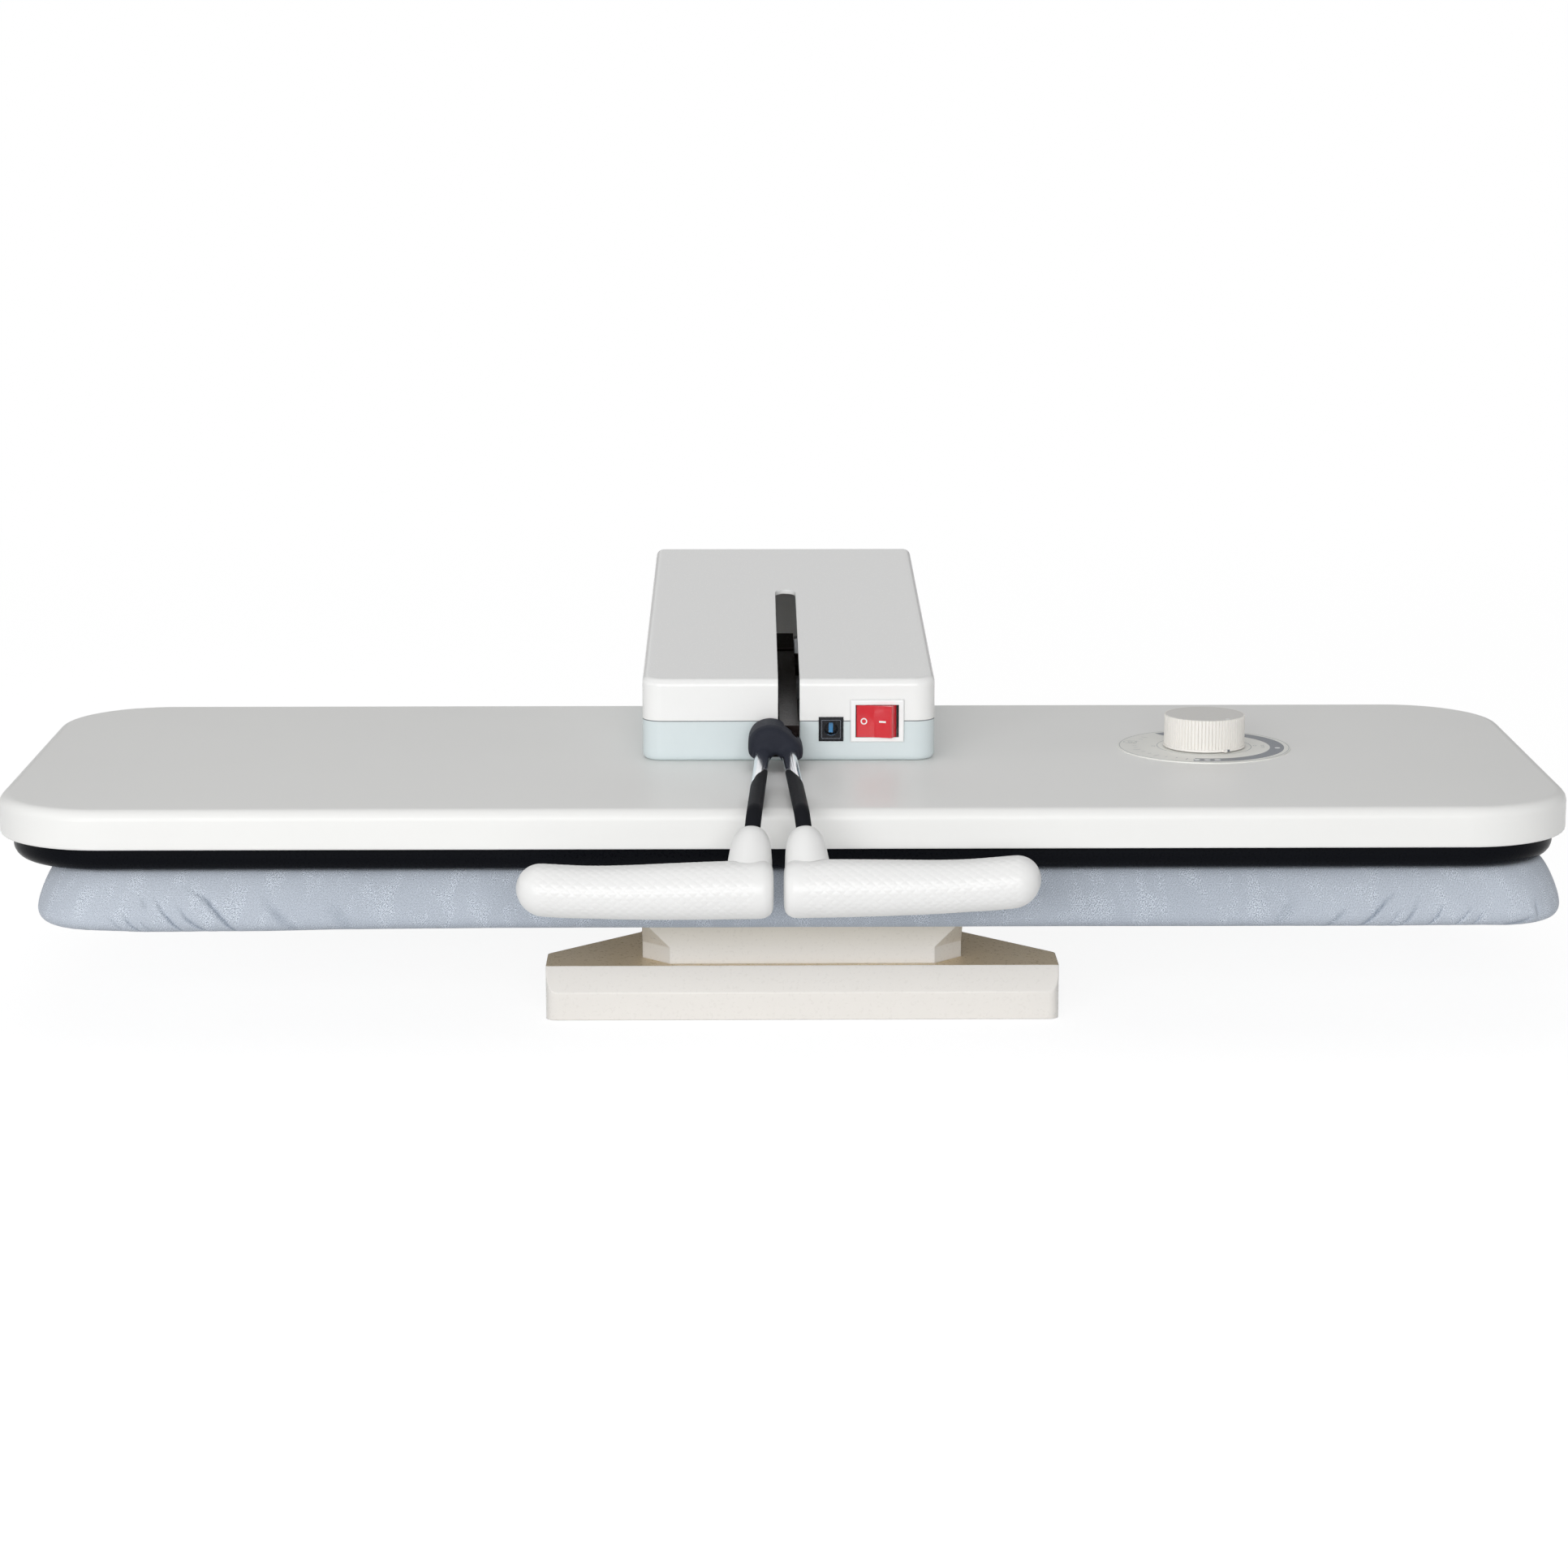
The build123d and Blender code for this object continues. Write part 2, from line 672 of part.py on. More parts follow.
# Console shells
def console_plan(inset, y_from=None):
    front = console_front + inset if y_from is None else y_from
    back = console_back - inset
    taper = (console_half_front - console_half_back) / (console_back - console_front)
    half_at_front = console_half_front - taper * (front - console_front) - inset
    half_at_back = console_half_back + taper * inset - inset
    points = [(half_at_front, front), (half_at_back, back), (-half_at_back, back), (-half_at_front, front)]
    face = make_face(Polyline(*points, close=True))
    face = fillet(face.vertices().group_by(Axis.Y)[-1], console_rear_corner - inset)
    if y_from is None:
        face = fillet(face.vertices().group_by(Axis.Y)[0], console_corner - inset)
    return Pos(console_x, 0, 0) * face


def make_console_lower():
    height = console_seam - cover_top
    shell = extrude(Pos(0, 0, cover_top) * console_plan(0), amount=height)
    shell = fillet(shell.edges().group_by(Axis.Z)[0], console_foot_round)
    shell = chamfer(shell.edges().group_by(Axis.Z)[-1], seam_groove)
    low = cover_top - console_drop
    tail_front = cover_depth + 4
    shell += extrude(Pos(0, 0, low) * console_plan(0, tail_front), amount=console_drop + 10)
    shell -= extrude(Pos(0, 0, cover_top + console_wall) * console_plan(console_wall), amount=height)
    tail_inner = tail_front + console_wall
    tail_hollow = Pos(0, 0, low + console_wall) * console_plan(console_wall, tail_inner)
    shell -= extrude(tail_hollow, amount=console_drop + 10)
    shell -= block(console_x - slot_clear, console_x + slot_clear, 190, console_back - console_wall,
                   low - 1, cover_top + console_wall + 1)
    shell -= block(console_x - slot_width / 2, console_x + slot_width / 2, console_front - 1,
                   console_front + console_wall + 1, slot_low, console_seam + 1)
    shell -= rod_z(tube_x, tube_y, cover_top - 1, cover_top + console_wall + 1, 4.0)
    return shell - front_cut_outs()


def roof_height(y):
    return roof_front + (roof_back - roof_front) * (y - console_front) / (console_back - console_front)


def console_wedge(inset):
    front, back = console_front - 5, console_back + 5
    bottom = console_seam if inset == 0 else console_seam - 1
    roof = [(back, roof_height(back) - inset), (front, roof_height(front) - inset)]
    points = [(front, bottom), (back, bottom)] + roof
    wedge = side_plate(points, console_x - console_half_front - 1, console_x + console_half_front + 1)
    plan = extrude(Pos(0, 0, cover_top) * console_plan(inset), amount=roof_back - cover_top + 10)
    body = wedge & plan
    on_roof = []
    for edge in body.edges():
        middle = edge.center()
        if abs(middle.Z - roof_height(middle.Y) + inset) < 1.5:
            on_roof.append(edge)
    body = fillet(on_roof, roof_round - inset)
    if inset == 0:
        body = chamfer(body.edges().group_by(Axis.Z)[0], seam_groove)
    return body


def slot_cutter():
    x0, x1 = console_x - slot_width / 2, console_x + slot_width / 2
    end = slot_back - slot_width / 2
    cutter = block(x0, x1, console_front - 5, end, slot_low, roof_back + 10)
    return cutter + rod_z(console_x, end, console_seam, roof_back + 10, slot_width / 2)


def front_cut_outs():
    y0, y1 = console_front - 2, console_front + 8
    switch_hole = switch_block(bezel_width / 2 - 2.0, bezel_height / 2 - 2.0, y0, y1)
    return switch_hole + socket_block(socket_width / 2 - 1.2, y0, y1)


def make_console_upper():
    shell = console_wedge(0) - console_wedge(console_wall)
    shell -= slot_cutter()
    shell -= front_cut_outs()
    shell -= rod_y(filler_x, console_back - 8, console_back + 2, filler_z, neck_radius)
    return shell - rod_y(gland_x, console_back - 8, console_back + 2, gland_z, gland_thread_radius)


def make_console_screws():
    screws = []
    for shift in (-84, 84):
        for y in (205, 330):
            boss = rod_z(console_x + shift, y, cover_top + 6, cover_top + 22, 4.0)
            head = rod_z(console_x + shift, y, cover_top + console_wall, cover_top + 6, 5.5)
            screws.append(head + boss)
    return group(screws)


# Front fittings
def switch_block(half_width, half_height, y0, y1):
    return block(switch_x - half_width, switch_x + half_width, y0, y1,
                 switch_z - half_height, switch_z + half_height)


def make_switch_housing():
    y_face = console_front
    bezel = switch_block(bezel_width / 2, bezel_height / 2, y_face - bezel_thickness, y_face)
    bezel = fillet(bezel.edges().group_by(Axis.Y)[0], bezel_round)
    body = switch_block(bezel_width / 2 - 2.0, bezel_height / 2 - 2.0, y_face, y_face + switch_body_depth)
    well_half_height = rocker_height / 2 + 0.3
    well = switch_block(switch_well_half, well_half_height, y_face - 3, y_face + 14)
    reach = well_half_height + rocker_trunnion
    pivot_hole = rod_z(switch_x, y_face + rocker_pivot_depth, switch_z - reach, switch_z + reach,
                       rocker_trunnion_radius + running_gap)
    housing = bezel + body - well - pivot_hole
    for shift in (-9, 0, 9):
        terminal = switch_block(3.0, 0.5, y_face + switch_body_depth, y_face + switch_body_depth + 9)
        housing += Pos(shift, 0, 0) * terminal
    return housing


def make_rocker():
    # Built level, then turned so that its left side is pressed in
    pivot = (switch_x, console_front + rocker_pivot_depth)
    face = make_face(Polyline(*rocker_outline, close=True))
    body = extrude(Pos(0, 0, -rocker_height / 2) * face, amount=rocker_height)
    body = fillet(body.edges().filter_by(Axis.Z).group_by(Axis.Y)[0], rocker_round)
    reach = rocker_height / 2 + rocker_trunnion
    body += rod_z(0, 0, -reach, reach, rocker_trunnion_radius)
    return Pos(pivot[0], pivot[1], switch_z) * Rot(0, 0, -rocker_tilt) * body


def socket_block(half, y0, y1):
    return block(socket_x - half, socket_x + half, y0, y1, socket_z - half, socket_z + half)


def make_pedal_socket():
    y_face = console_front
    half = socket_width / 2
    flange = socket_block(half, y_face - 1.4, y_face)
    flange = fillet(flange.edges().group_by(Axis.Y)[0], 0.5)
    body = socket_block(half - 1.2, y_face, y_face + 16)
    recess = socket_block(half - 2.4, y_face - 2, y_face - 0.7)
    bore = rod_y(socket_x, y_face - 2, y_face + socket_bore_depth, socket_z, socket_bore_radius)
    return flange + body - recess - bore


def make_socket_insert():
    y0, y1 = console_front + 6.5, console_front + socket_bore_depth
    return block(socket_x - 1.4, socket_x + 1.4, y0, y1, socket_z - 3.6, socket_z + 3.6)


def make_dial_plate():
    disc = rod_z(dial_x, dial_y, cover_top, cover_top + dial_thickness, dial_radius)
    disc = fillet(disc.edges().group_by(Axis.Z)[-1], 0.4)
    return disc - rod_z(dial_x, dial_y, cover_top - 1, cover_top + 2, 6.0)


def make_thermostat():
    body = rod_z(dial_x, dial_y, plate_top, plate_top + 17, 17.0)
    body += rod_z(dial_x, dial_y, plate_top + 17, cover_top - cover_wall, 7.0)
    return body - rod_z(dial_x, dial_y, plate_top + 20, cover_top, shaft_radius + running_gap)


def make_thermostat_shaft():
    return rod_z(dial_x, dial_y, plate_top + 20.2, shaft_top, shaft_radius)


def make_temperature_knob():
    z0 = cover_top + dial_thickness + 0.7
    skirt_top = z0 + 1.6
    tip, base = knob_radius - 0.8, knob_radius + 0.4
    notch = make_face(Polyline((0, tip), (0.55, base), (-0.55, base), close=True))
    notches = Sketch() + [Rot(0, 0, i * 360 / knob_ribs) * notch for i in range(knob_ribs)]
    ribbed = Pos(dial_x, dial_y, skirt_top) * (Circle(knob_radius) - notches)
    body = extrude(ribbed, amount=knob_top - skirt_top)
    skirt = rod_z(dial_x, dial_y, z0, skirt_top, knob_radius + 0.5)
    pointer_turn = Pos(dial_x, dial_y, 0) * Rot(0, 0, pointer_angle)
    pointer = pointer_turn * block(-1.2, 1.2, -knob_radius - 2.6, -knob_radius + 1, z0, skirt_top)
    knob = body + skirt + pointer
    knob -= rod_z(dial_x, dial_y, knob_top - cap_depth, knob_top + 1, cap_radius)
    return knob - rod_z(dial_x, dial_y, z0 - 1, shaft_top, shaft_radius)


def make_knob_cap():
    disc = rod_z(dial_x, dial_y, knob_top - cap_depth, knob_top + 0.2, cap_radius)
    return fillet(disc.edges().group_by(Axis.Z)[-1], 0.4)


def make_thermal_fuse():
    body = rod_x(-118, -88, 236, plate_top + 5, 4.0)
    foot = block(-121, -85, 230, 242, plate_top, plate_top + 1.6)
    return body + foot + block(-108, -98, 232, 240, plate_top, plate_top + 4)


# Water and steam
def make_water_tank():
    x0, x1 = console_x - 85, console_x - 25
    top_front, top_back = roof_height(335) - 8, roof_height(470) - 8
    low = cover_top + 46
    outline = [(335, low), (470, low), (470, top_back), (335, top_front)]
    tank = side_plate(outline, x0, x1)
    tank = fillet(tank.edges().filter_by(Axis.X), 4.0)
    inside = [(337, low + 2), (468, low + 2), (468, top_back - 2), (337, top_front - 2)]
    inner = side_plate(inside, x0 + 2, x1 - 2)
    leg = block(x0, x0 + 18, 338, 364, cover_top + console_wall, low)
    neck = rod_y(filler_x, 468, console_back, filler_z, neck_radius)
    bore = rod_y(filler_x, 466, console_back + 1, filler_z, neck_bore)
    return tank - inner + leg + neck - bore


def make_filler_cap():
    cap = rod_y(filler_x, console_back + 0.3, console_back + 9, filler_z, filler_radius)
    cap = fillet(cap.edges().group_by(Axis.Y)[-1], 1.5)
    cap += rod_y(filler_x, console_back - 10, console_back + 0.3, filler_z, neck_bore - running_gap)
    bar_end = console_back + 11.4
    return cap + block(filler_x - 12, filler_x + 12, console_back + 9, bar_end, filler_z - 2, filler_z + 2)


def make_water_pump():
    x, z = console_x + pump_shift, cover_top + console_wall + pump_height
    pump = rod_y(x, 244, 304, z, 12.0)
    pump += block(x - 11, x + 11, 250, 262, cover_top + console_wall, z)
    pump += block(x - 11, x + 11, 286, 298, cover_top + console_wall, z)
    return pump + rod_y(x, 232, 244, z, 3.0)


def make_steam_tube():
    x, z = console_x + pump_shift, cover_top + console_wall + pump_height
    path = [(x, 232, z), (x, 206, z), (tube_x, tube_y, z - 3), (tube_x, tube_y, plate_top + 9)]
    return tube(path, 9.0, 2.4)


def make_control_board():
    x0, x1 = console_x - 86, console_x - 68
    board = block(x0, x0 + 1.6, 216, 296, cover_top + console_wall, cover_top + 33)
    for y, length in ((222, 22), (252, 14), (272, 18)):
        board += block(x0 + 1.6, x1 - 4, y, y + length, cover_top + 10, cover_top + 26)
    return board


def make_cord_gland():
    y0 = console_back
    rear_face = Plane(origin=(gland_x, y0, gland_z), z_dir=(0, 1, 0))
    nut = extrude(rear_face * RegularPolygon(11.0, 6), amount=6.0)
    collar = rod_y(gland_x, y0 + 6, y0 + rear_fitting_reach, gland_z, 8.0)
    thread = rod_y(gland_x, y0 - 12, y0, gland_z, gland_thread_radius)
    lock = rod_y(gland_x, y0 - 12, y0 - 6, gland_z, 10.0)
    return nut + collar + thread + lock - rod_y(gland_x, y0 - 13, y0 + 13, gland_z, gland_bore)


# Handle
def make_lever_bar():
    x0, x1 = console_x - lever_thickness / 2, console_x + lever_thickness / 2
    front_z = cover_top + 19
    outline = [(boot_back - 14, front_z - 8.5), (lever_y, lever_z - 11), (lever_y, lever_z + 11),
               (boot_back - 14, front_z + 8.5)]
    bar = side_plate(outline, x0, x1) + rod_x(x0, x1, lever_y, lever_z, 12.0)
    slot_mid_y, slot_mid_z = fulcrum_y - 3.0, fulcrum_z - 0.3
    tail_end = slot_mid_y + tail_slot_half
    tail = side_plate([(lever_y, lever_z - 11.5), (tail_end, slot_mid_z - 11), (tail_end, slot_mid_z + 11),
                       (lever_y, lever_z + 11.5)], x0, x1)
    bar += tail + rod_x(x0, x1, tail_end, slot_mid_z, 11.0)
    bar -= rod_x(x0 - 1, x1 + 1, lever_y, lever_z, lever_pin_radius + running_gap)
    slot = block(x0 - 1, x1 + 1, slot_mid_y - tail_slot_half, tail_end,
                 slot_mid_z - tail_slot_radius, slot_mid_z + tail_slot_radius)
    for end in (-tail_slot_half, tail_slot_half):
        slot += rod_x(x0 - 1, x1 + 1, slot_mid_y + end, slot_mid_z, tail_slot_radius)
    return bar - slot


def yoke_block():
    # The steel block in the boot that joins the lever to both rods
    return block(handle_x - 14, handle_x + 14, 131, boot_back - 14, cover_top + 8, cover_top + 24)


def make_rod_yoke():
    yoke = yoke_block()
    for side in (-1, 1):
        yoke -= handle_rod(side)
    return yoke


def rod_points(side):
    return [
        (handle_x + side * rod_half_back, rod_back_y - 4, rod_back_z),
        (handle_x + side * (rod_half_front - 0.6), rod_bend_y, rod_bend_z),
        (handle_x + side * elbow_half, grip_y + 9.5, grip_z + 10.4),
    ]


def handle_rod(side):
    return tube(rod_points(side), 26.0, rod_radius)


def make_lever_boot():
    # One rounded body with a short sleeve round each rod
    body = block(handle_x - boot_half, handle_x + boot_half, boot_front, boot_back, boot_low, boot_high)
    upper = body.edges().filter_by(Axis.Y).group_by(Axis.Z)[-1]
    body = fillet(upper, boot_shoulder_round)
    lower = body.edges().filter_by(Axis.Y).group_by(Axis.Z)[0]
    body = fillet(lower, boot_foot_round)
    body = fillet(body.edges().group_by(Axis.Y)[0], boot_front_round)
    body = fillet(body.edges().group_by(Axis.Y)[-1], boot_back_round)
    for side in (-1, 1):
        rod_start, rod_bend = [Vector(*point) for point in rod_points(side)[:2]]
        along = (rod_bend - rod_start).normalized()
        sleeve_start = Plane(origin=rod_start + along * 2.0, z_dir=along)
        body += extrude(sleeve_start * Circle(sleeve_radius), amount=sleeve_length)
    body -= make_lever_bar()
    body -= yoke_block()
    for side in (-1, 1):
        body -= handle_rod(side)
    return body


def elbow_cone(side):
    # A bottle shape that starts on the rod and widens down to the grip's middle line
    bend, rod_end = [Vector(*point) for point in rod_points(side)[1:]]
    start = bend + (rod_end - bend) * elbow_start_share
    axis = Vector(handle_x + side * elbow_half, grip_y, grip_z) - start
    base = Plane(origin=start, z_dir=axis)
    return loft([base.offset(axis.length * share) * Circle(radius) for share, radius in elbow_profile])


def grip_sections():
    # Distance from the inner end, radius, and rise of the middle line: a rounded inner end,
    # a slight waist near the outer end and a rounded tip that turns up a little
    sections = []
    for turn in (0, 30, 60, 90):
        along = inner_round * (1 - cos(radians(turn)))
        radius = grip_radius - inner_round * (1 - sin(radians(turn)))
        sections.append((along, radius, 0.0))
    sections += [(34.0, 17.8, -0.1), (64.0, 17.3, -0.3), (92.0, 16.6, -0.3), (112.0, 16.2, 0.2),
                 (128.0, 16.3, 1.0)]
    tip_start = grip_length - tip_radius
    for turn in (0, 18, 36, 54, 70, 84):
        along = tip_start + tip_radius * sin(radians(turn))
        sections.append((along, tip_radius * cos(radians(turn)), 2.0 + 1.4 * sin(radians(turn))))
    return sections


def grip_solid(side):
    faces = []
    # The pair of grips is turned a little: its right end is the higher one, as photographed
    for along, radius, rise in grip_sections():
        reach = side * (grip_gap_half + along)
        z = grip_z + rise + reach * sin(radians(grip_roll))
        faces.append(Plane(origin=(handle_x + reach, grip_y, z), z_dir=(side, 0, 0)) * Circle(radius))
    return loft(faces, ruled=True)


def make_grip(side):
    return grip_solid(side) - handle_rod(side)


def make_elbow(side):
    return elbow_cone(side) - grip_solid(side) - handle_rod(side)


nodes = {
    "base_shell": make_base_shell,
    "base_spine": make_base_spine,
    "base_crossbeams": lambda: group([beam(y) for y in beam_starts()]),
    "rubber_feet": make_rubber_feet,
    "foot_screws": make_foot_screws,
    "pedestal_shell": make_pedestal_shell,
    "board_bracket": make_board_bracket,
    "board_panel": make_board_panel,
    "board_pad": make_board_pad,
    "board_cover": make_board_cover,
    "panel_screws": make_panel_screws,
    "hinge_tower": make_hinge_tower,
    "tower_shroud": make_tower_shroud,
    "tower_bolts": make_tower_bolts,
    "hinge_pin": make_hinge_pin,
    "hinge_circlips": make_hinge_circlips,
    "hinge_washers": make_hinge_washers,
    "fulcrum_pin": make_fulcrum_pin,
    "lift_springs": make_lift_springs,
    "head_cover": make_head_cover,
    "insulating_rim": make_insulating_rim,
    "hot_plate": make_hot_plate,
    "heating_element": make_heating_element,
    "steam_chamber": make_steam_chamber,
    "insulation_board": make_insulation_board,
    "mounting_posts": make_mounting_posts,
    "head_arm": make_head_arm,
    "arm_bolts": make_arm_bolts,
    "hinge_bushes": make_hinge_bushes,
    "lever_pin": make_lever_pin,
    "lever_washers": make_lever_washers,
    "console_lower": make_console_lower,
    "console_upper": make_console_upper,
    "console_screws": make_console_screws,
    "switch_housing": make_switch_housing,
    "pedal_socket": make_pedal_socket,
    "socket_insert": make_socket_insert,
    "dial_plate": make_dial_plate,
    "thermostat": make_thermostat,
    "thermal_fuse": make_thermal_fuse,
    "water_tank": make_water_tank,
    "water_pump": make_water_pump,
    "steam_tube": make_steam_tube,
    "control_board": make_control_board,
    "cord_gland": make_cord_gland,
    "lever_bar": make_lever_bar,
    "rod_yoke": make_rod_yoke,
    "lever_boot": make_lever_boot,
    "handle_rod_left": lambda: handle_rod(-1),
    "handle_rod_right": lambda: handle_rod(1),
    "elbow_left": lambda: make_elbow(-1),
    "elbow_right": lambda: make_elbow(1),
    "grip_left": lambda: make_grip(-1),
    "grip_right": lambda: make_grip(1),
    "rocker": make_rocker,
    "temperature_knob": make_temperature_knob,
    "knob_cap": make_knob_cap,
    "thermostat_shaft": make_thermostat_shaft,
    "filler_cap": make_filler_cap,
}

os.makedirs("parts", exist_ok=True)
for name, make in nodes.items():
    shape = Pos(0, -middle_y, 0) * make()
    export_step(shape, f"parts/{name}.step")
    print(name, len(shape.solids()), round(shape.volume))
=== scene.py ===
import json
import math

import bpy
import numpy as np
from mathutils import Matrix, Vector


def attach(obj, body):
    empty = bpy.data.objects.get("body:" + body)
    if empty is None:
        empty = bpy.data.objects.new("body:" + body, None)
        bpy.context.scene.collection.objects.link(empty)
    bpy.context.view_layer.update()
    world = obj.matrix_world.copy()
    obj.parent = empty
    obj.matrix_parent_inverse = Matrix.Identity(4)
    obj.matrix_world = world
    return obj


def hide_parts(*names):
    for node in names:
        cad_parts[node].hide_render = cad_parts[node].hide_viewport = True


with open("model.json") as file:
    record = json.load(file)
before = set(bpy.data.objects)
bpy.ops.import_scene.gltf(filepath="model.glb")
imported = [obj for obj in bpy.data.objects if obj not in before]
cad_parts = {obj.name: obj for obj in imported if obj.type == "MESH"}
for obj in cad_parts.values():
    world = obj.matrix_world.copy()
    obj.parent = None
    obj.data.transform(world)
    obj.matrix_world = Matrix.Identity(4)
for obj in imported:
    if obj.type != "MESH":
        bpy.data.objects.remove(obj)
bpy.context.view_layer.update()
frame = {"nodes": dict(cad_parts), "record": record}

mm = 0.001
frontToMiddle = 202.55  # the frame's origin lies this far behind the cover's front edge
nodes = frame["nodes"]


# Small tools

def toFrame(points):
    # Millimetres from the head's middle line, the cover's front edge and the table
    return (np.asarray(points, float) - (0.0, frontToMiddle, 0.0)) * mm


def addNode(tree, kind, inputs=None, **settings):
    node = tree.nodes.new(kind)
    for key, value in settings.items():
        setattr(node, key, value)
    for socket, value in (inputs or {}).items():
        if isinstance(value, bpy.types.NodeSocket):
            tree.links.new(value, node.inputs[socket])
        else:
            node.inputs[socket].default_value = value
    return node


def calc(tree, operation, first, second=0.0, third=0.0):
    node = addNode(tree, "ShaderNodeMath", {0: first, 1: second, 2: third}, operation=operation)
    return node.outputs["Value"]


def blendColour(tree, share, low, high):
    node = addNode(tree, "ShaderNodeMix", data_type="RGBA")
    for socket, value in (("Factor", share), ("A", low), ("B", high)):
        target = [entry for entry in node.inputs if entry.name == socket and entry.enabled][0]
        if isinstance(value, bpy.types.NodeSocket):
            tree.links.new(value, target)
        else:
            target.default_value = value
    return [entry for entry in node.outputs if entry.enabled][0]


def ramp(tree, value, low, high, toLow=0.0, toHigh=1.0, smooth=True):
    kind = "SMOOTHSTEP" if smooth else "LINEAR"
    node = addNode(tree, "ShaderNodeMapRange", {"Value": value, "From Min": low, "From Max": high,
                                                "To Min": toLow, "To Max": toHigh}, interpolation_type=kind)
    return node.outputs["Result"]


def noise(tree, where, scale, detail, roughness=0.5):
    return addNode(tree, "ShaderNodeTexNoise", {"Vector": where, "Scale": scale, "Detail": detail,
                                                "Roughness": roughness}).outputs["Fac"]


def roughen(tree, height, distance, strength=1.0, normal=None):
    node = addNode(tree, "ShaderNodeBump", {"Height": height, "Strength": strength, "Distance": distance})
    if normal is not None:
        tree.links.new(normal, node.inputs["Normal"])
    return node.outputs["Normal"]


def newMaterial(name):
    material = bpy.data.materials.new(name)
    material.use_nodes = True
    return material, material.node_tree, material.node_tree.nodes.get("Principled BSDF")


def srgb(red, green, blue):
    parts = []
    for part in (red, green, blue):
        share = part / 255
        parts.append(share / 12.92 if share <= 0.04045 else ((share + 0.055) / 1.055) ** 2.4)
    return (*parts, 1.0)


def shade(colour, factor):
    return (*[min(1.0, part * factor) for part in colour[:3]], 1.0)


def newObject(name, data):
    piece = bpy.data.objects.new(name, data)
    bpy.context.scene.collection.objects.link(piece)
    return piece


def pieceFrom(name, points, faces, uvs=None):
    # uvs holds one pair for each corner of each face, in the same order
    mesh = bpy.data.meshes.new(name)
    mesh.from_pydata(np.asarray(points, float).tolist(), [], faces)
    if uvs is not None:
        layer = mesh.uv_layers.new(name="lengths")
        layer.data.foreach_set("uv", np.asarray(uvs, float).ravel())
    mesh.polygons.foreach_set("use_smooth", [True] * len(mesh.polygons))
    return newObject(name, mesh)


def gridFaces(rows, columns):
    # Four-sided faces between closed rings of points
    j, i = np.meshgrid(np.arange(rows - 1), np.arange(columns), indexing="ij")
    right = (i + 1) % columns
    here, above = j * columns, (j + 1) * columns
    return np.stack([here + i, here + right, above + right, above + i], -1).reshape(-1, 4)


def smoothLine(points, count, closed=False):
    # Even steps along a Catmull-Rom line through the points
    points = np.asarray(points, float)
    if closed:
        padded = np.vstack([points[-1:], points, points[:2]])
    else:
        padded = np.vstack([2 * points[0] - points[1], points, 2 * points[-1] - points[-2]])
    fine = []
    share = np.linspace(0, 1, 24, endpoint=False)[:, None]
    for a, b, c, d in zip(padded, padded[1:], padded[2:], padded[3:]):
        fine.append(0.5 * (2 * b + (c - a) * share + (2 * a - 5 * b + 4 * c - d) * share ** 2
                           + (3 * b - a - 3 * c + d) * share ** 3))
    fine = np.vstack(fine + [points[:1] if closed else points[-1:]])
    steps = np.concatenate([[0], np.cumsum(np.linalg.norm(np.diff(fine, axis=0), axis=1))])
    wanted = np.linspace(0, steps[-1], count + 1 if closed else count)
    line = np.stack([np.interp(wanted, steps, fine[:, k]) for k in range(fine.shape[1])], 1)
    return line[:-1] if closed else line


def settle(piece):
    # Applies the piece's modifiers and takes them off
    graph = bpy.context.evaluated_depsgraph_get()
    shaped = bpy.data.meshes.new_from_object(piece.evaluated_get(graph))
    piece.modifiers.clear()
    old = piece.data
    piece.data = shaped
    bpy.data.meshes.remove(old)
    shaped.polygons.foreach_set("use_smooth", [True] * len(shaped.polygons))


def dress(piece, finish, body):
    piece.data.materials.clear()
    piece.data.materials.append(materials[finish])
    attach(piece, body)


# Materials

markLook = {
    # Half width of the painted shade line in the joint and of its soft edge, in metres, and how much it
    # covers
    "seamHalf": (0.00022, 0.0005),
    "seamShare": 0.7,
    "seamShadeColour": srgb(96, 100, 104),
    # Upward share of the normal from which a face counts as a shelf
    "shelfFacing": (0.9, 0.98),
    # Where painted shade inside a well softens in, in metres, and the colour of that shade
    "wellSoft": 0.0003,
    "wellShadeColour": srgb(60, 58, 60),
}


def markColour(tree, look, place, colour):
    # Painted shade along the joint between two shells, painted light low down, upward faces in painted shade,
    # and painted shade inside a well
    split = addNode(tree, "ShaderNodeSeparateXYZ", {"Vector": place})
    # Painted shade: a dark line along the joint between the two shells
    if look.get("seamAt"):
        gap = calc(tree, "ABSOLUTE", calc(tree, "SUBTRACT", split.outputs["Z"], look["seamAt"]))
        seamShade = ramp(tree, gap, *markLook["seamHalf"], markLook["seamShare"], 0.0)
        colour = blendColour(tree, seamShade, colour, markLook["seamShadeColour"])
    # Painted light and shade: lighter low down, turning to the darker base colour higher up
    if look.get("lowPaintedLight"):
        rise = ramp(tree, split.outputs["Z"], *look["lowTo"])
        colour = blendColour(tree, rise, look["lowPaintedLight"], colour)
    # Painted shade: faces turned upward take a darker colour; on the cream shell it also paints warm bounce
    # light
    if look.get("upwardShadeColour"):
        facing = addNode(tree, "ShaderNodeSeparateXYZ",
                         {"Vector": addNode(tree, "ShaderNodeNewGeometry").outputs["True Normal"]})
        upwardShade = ramp(tree, facing.outputs["Z"], *markLook["shelfFacing"])
        colour = blendColour(tree, upwardShade, colour, look["upwardShadeColour"])
    # Painted shade: everything behind wellFrom, inside the switch's well and along its bezel's edge, takes a
    # dark colour
    if look.get("wellFrom"):
        inside = ramp(tree, split.outputs["Y"], look["wellFrom"], look["wellFrom"] + markLook["wellSoft"])
        colour = blendColour(tree, inside, colour, markLook["wellShadeColour"])
    return colour


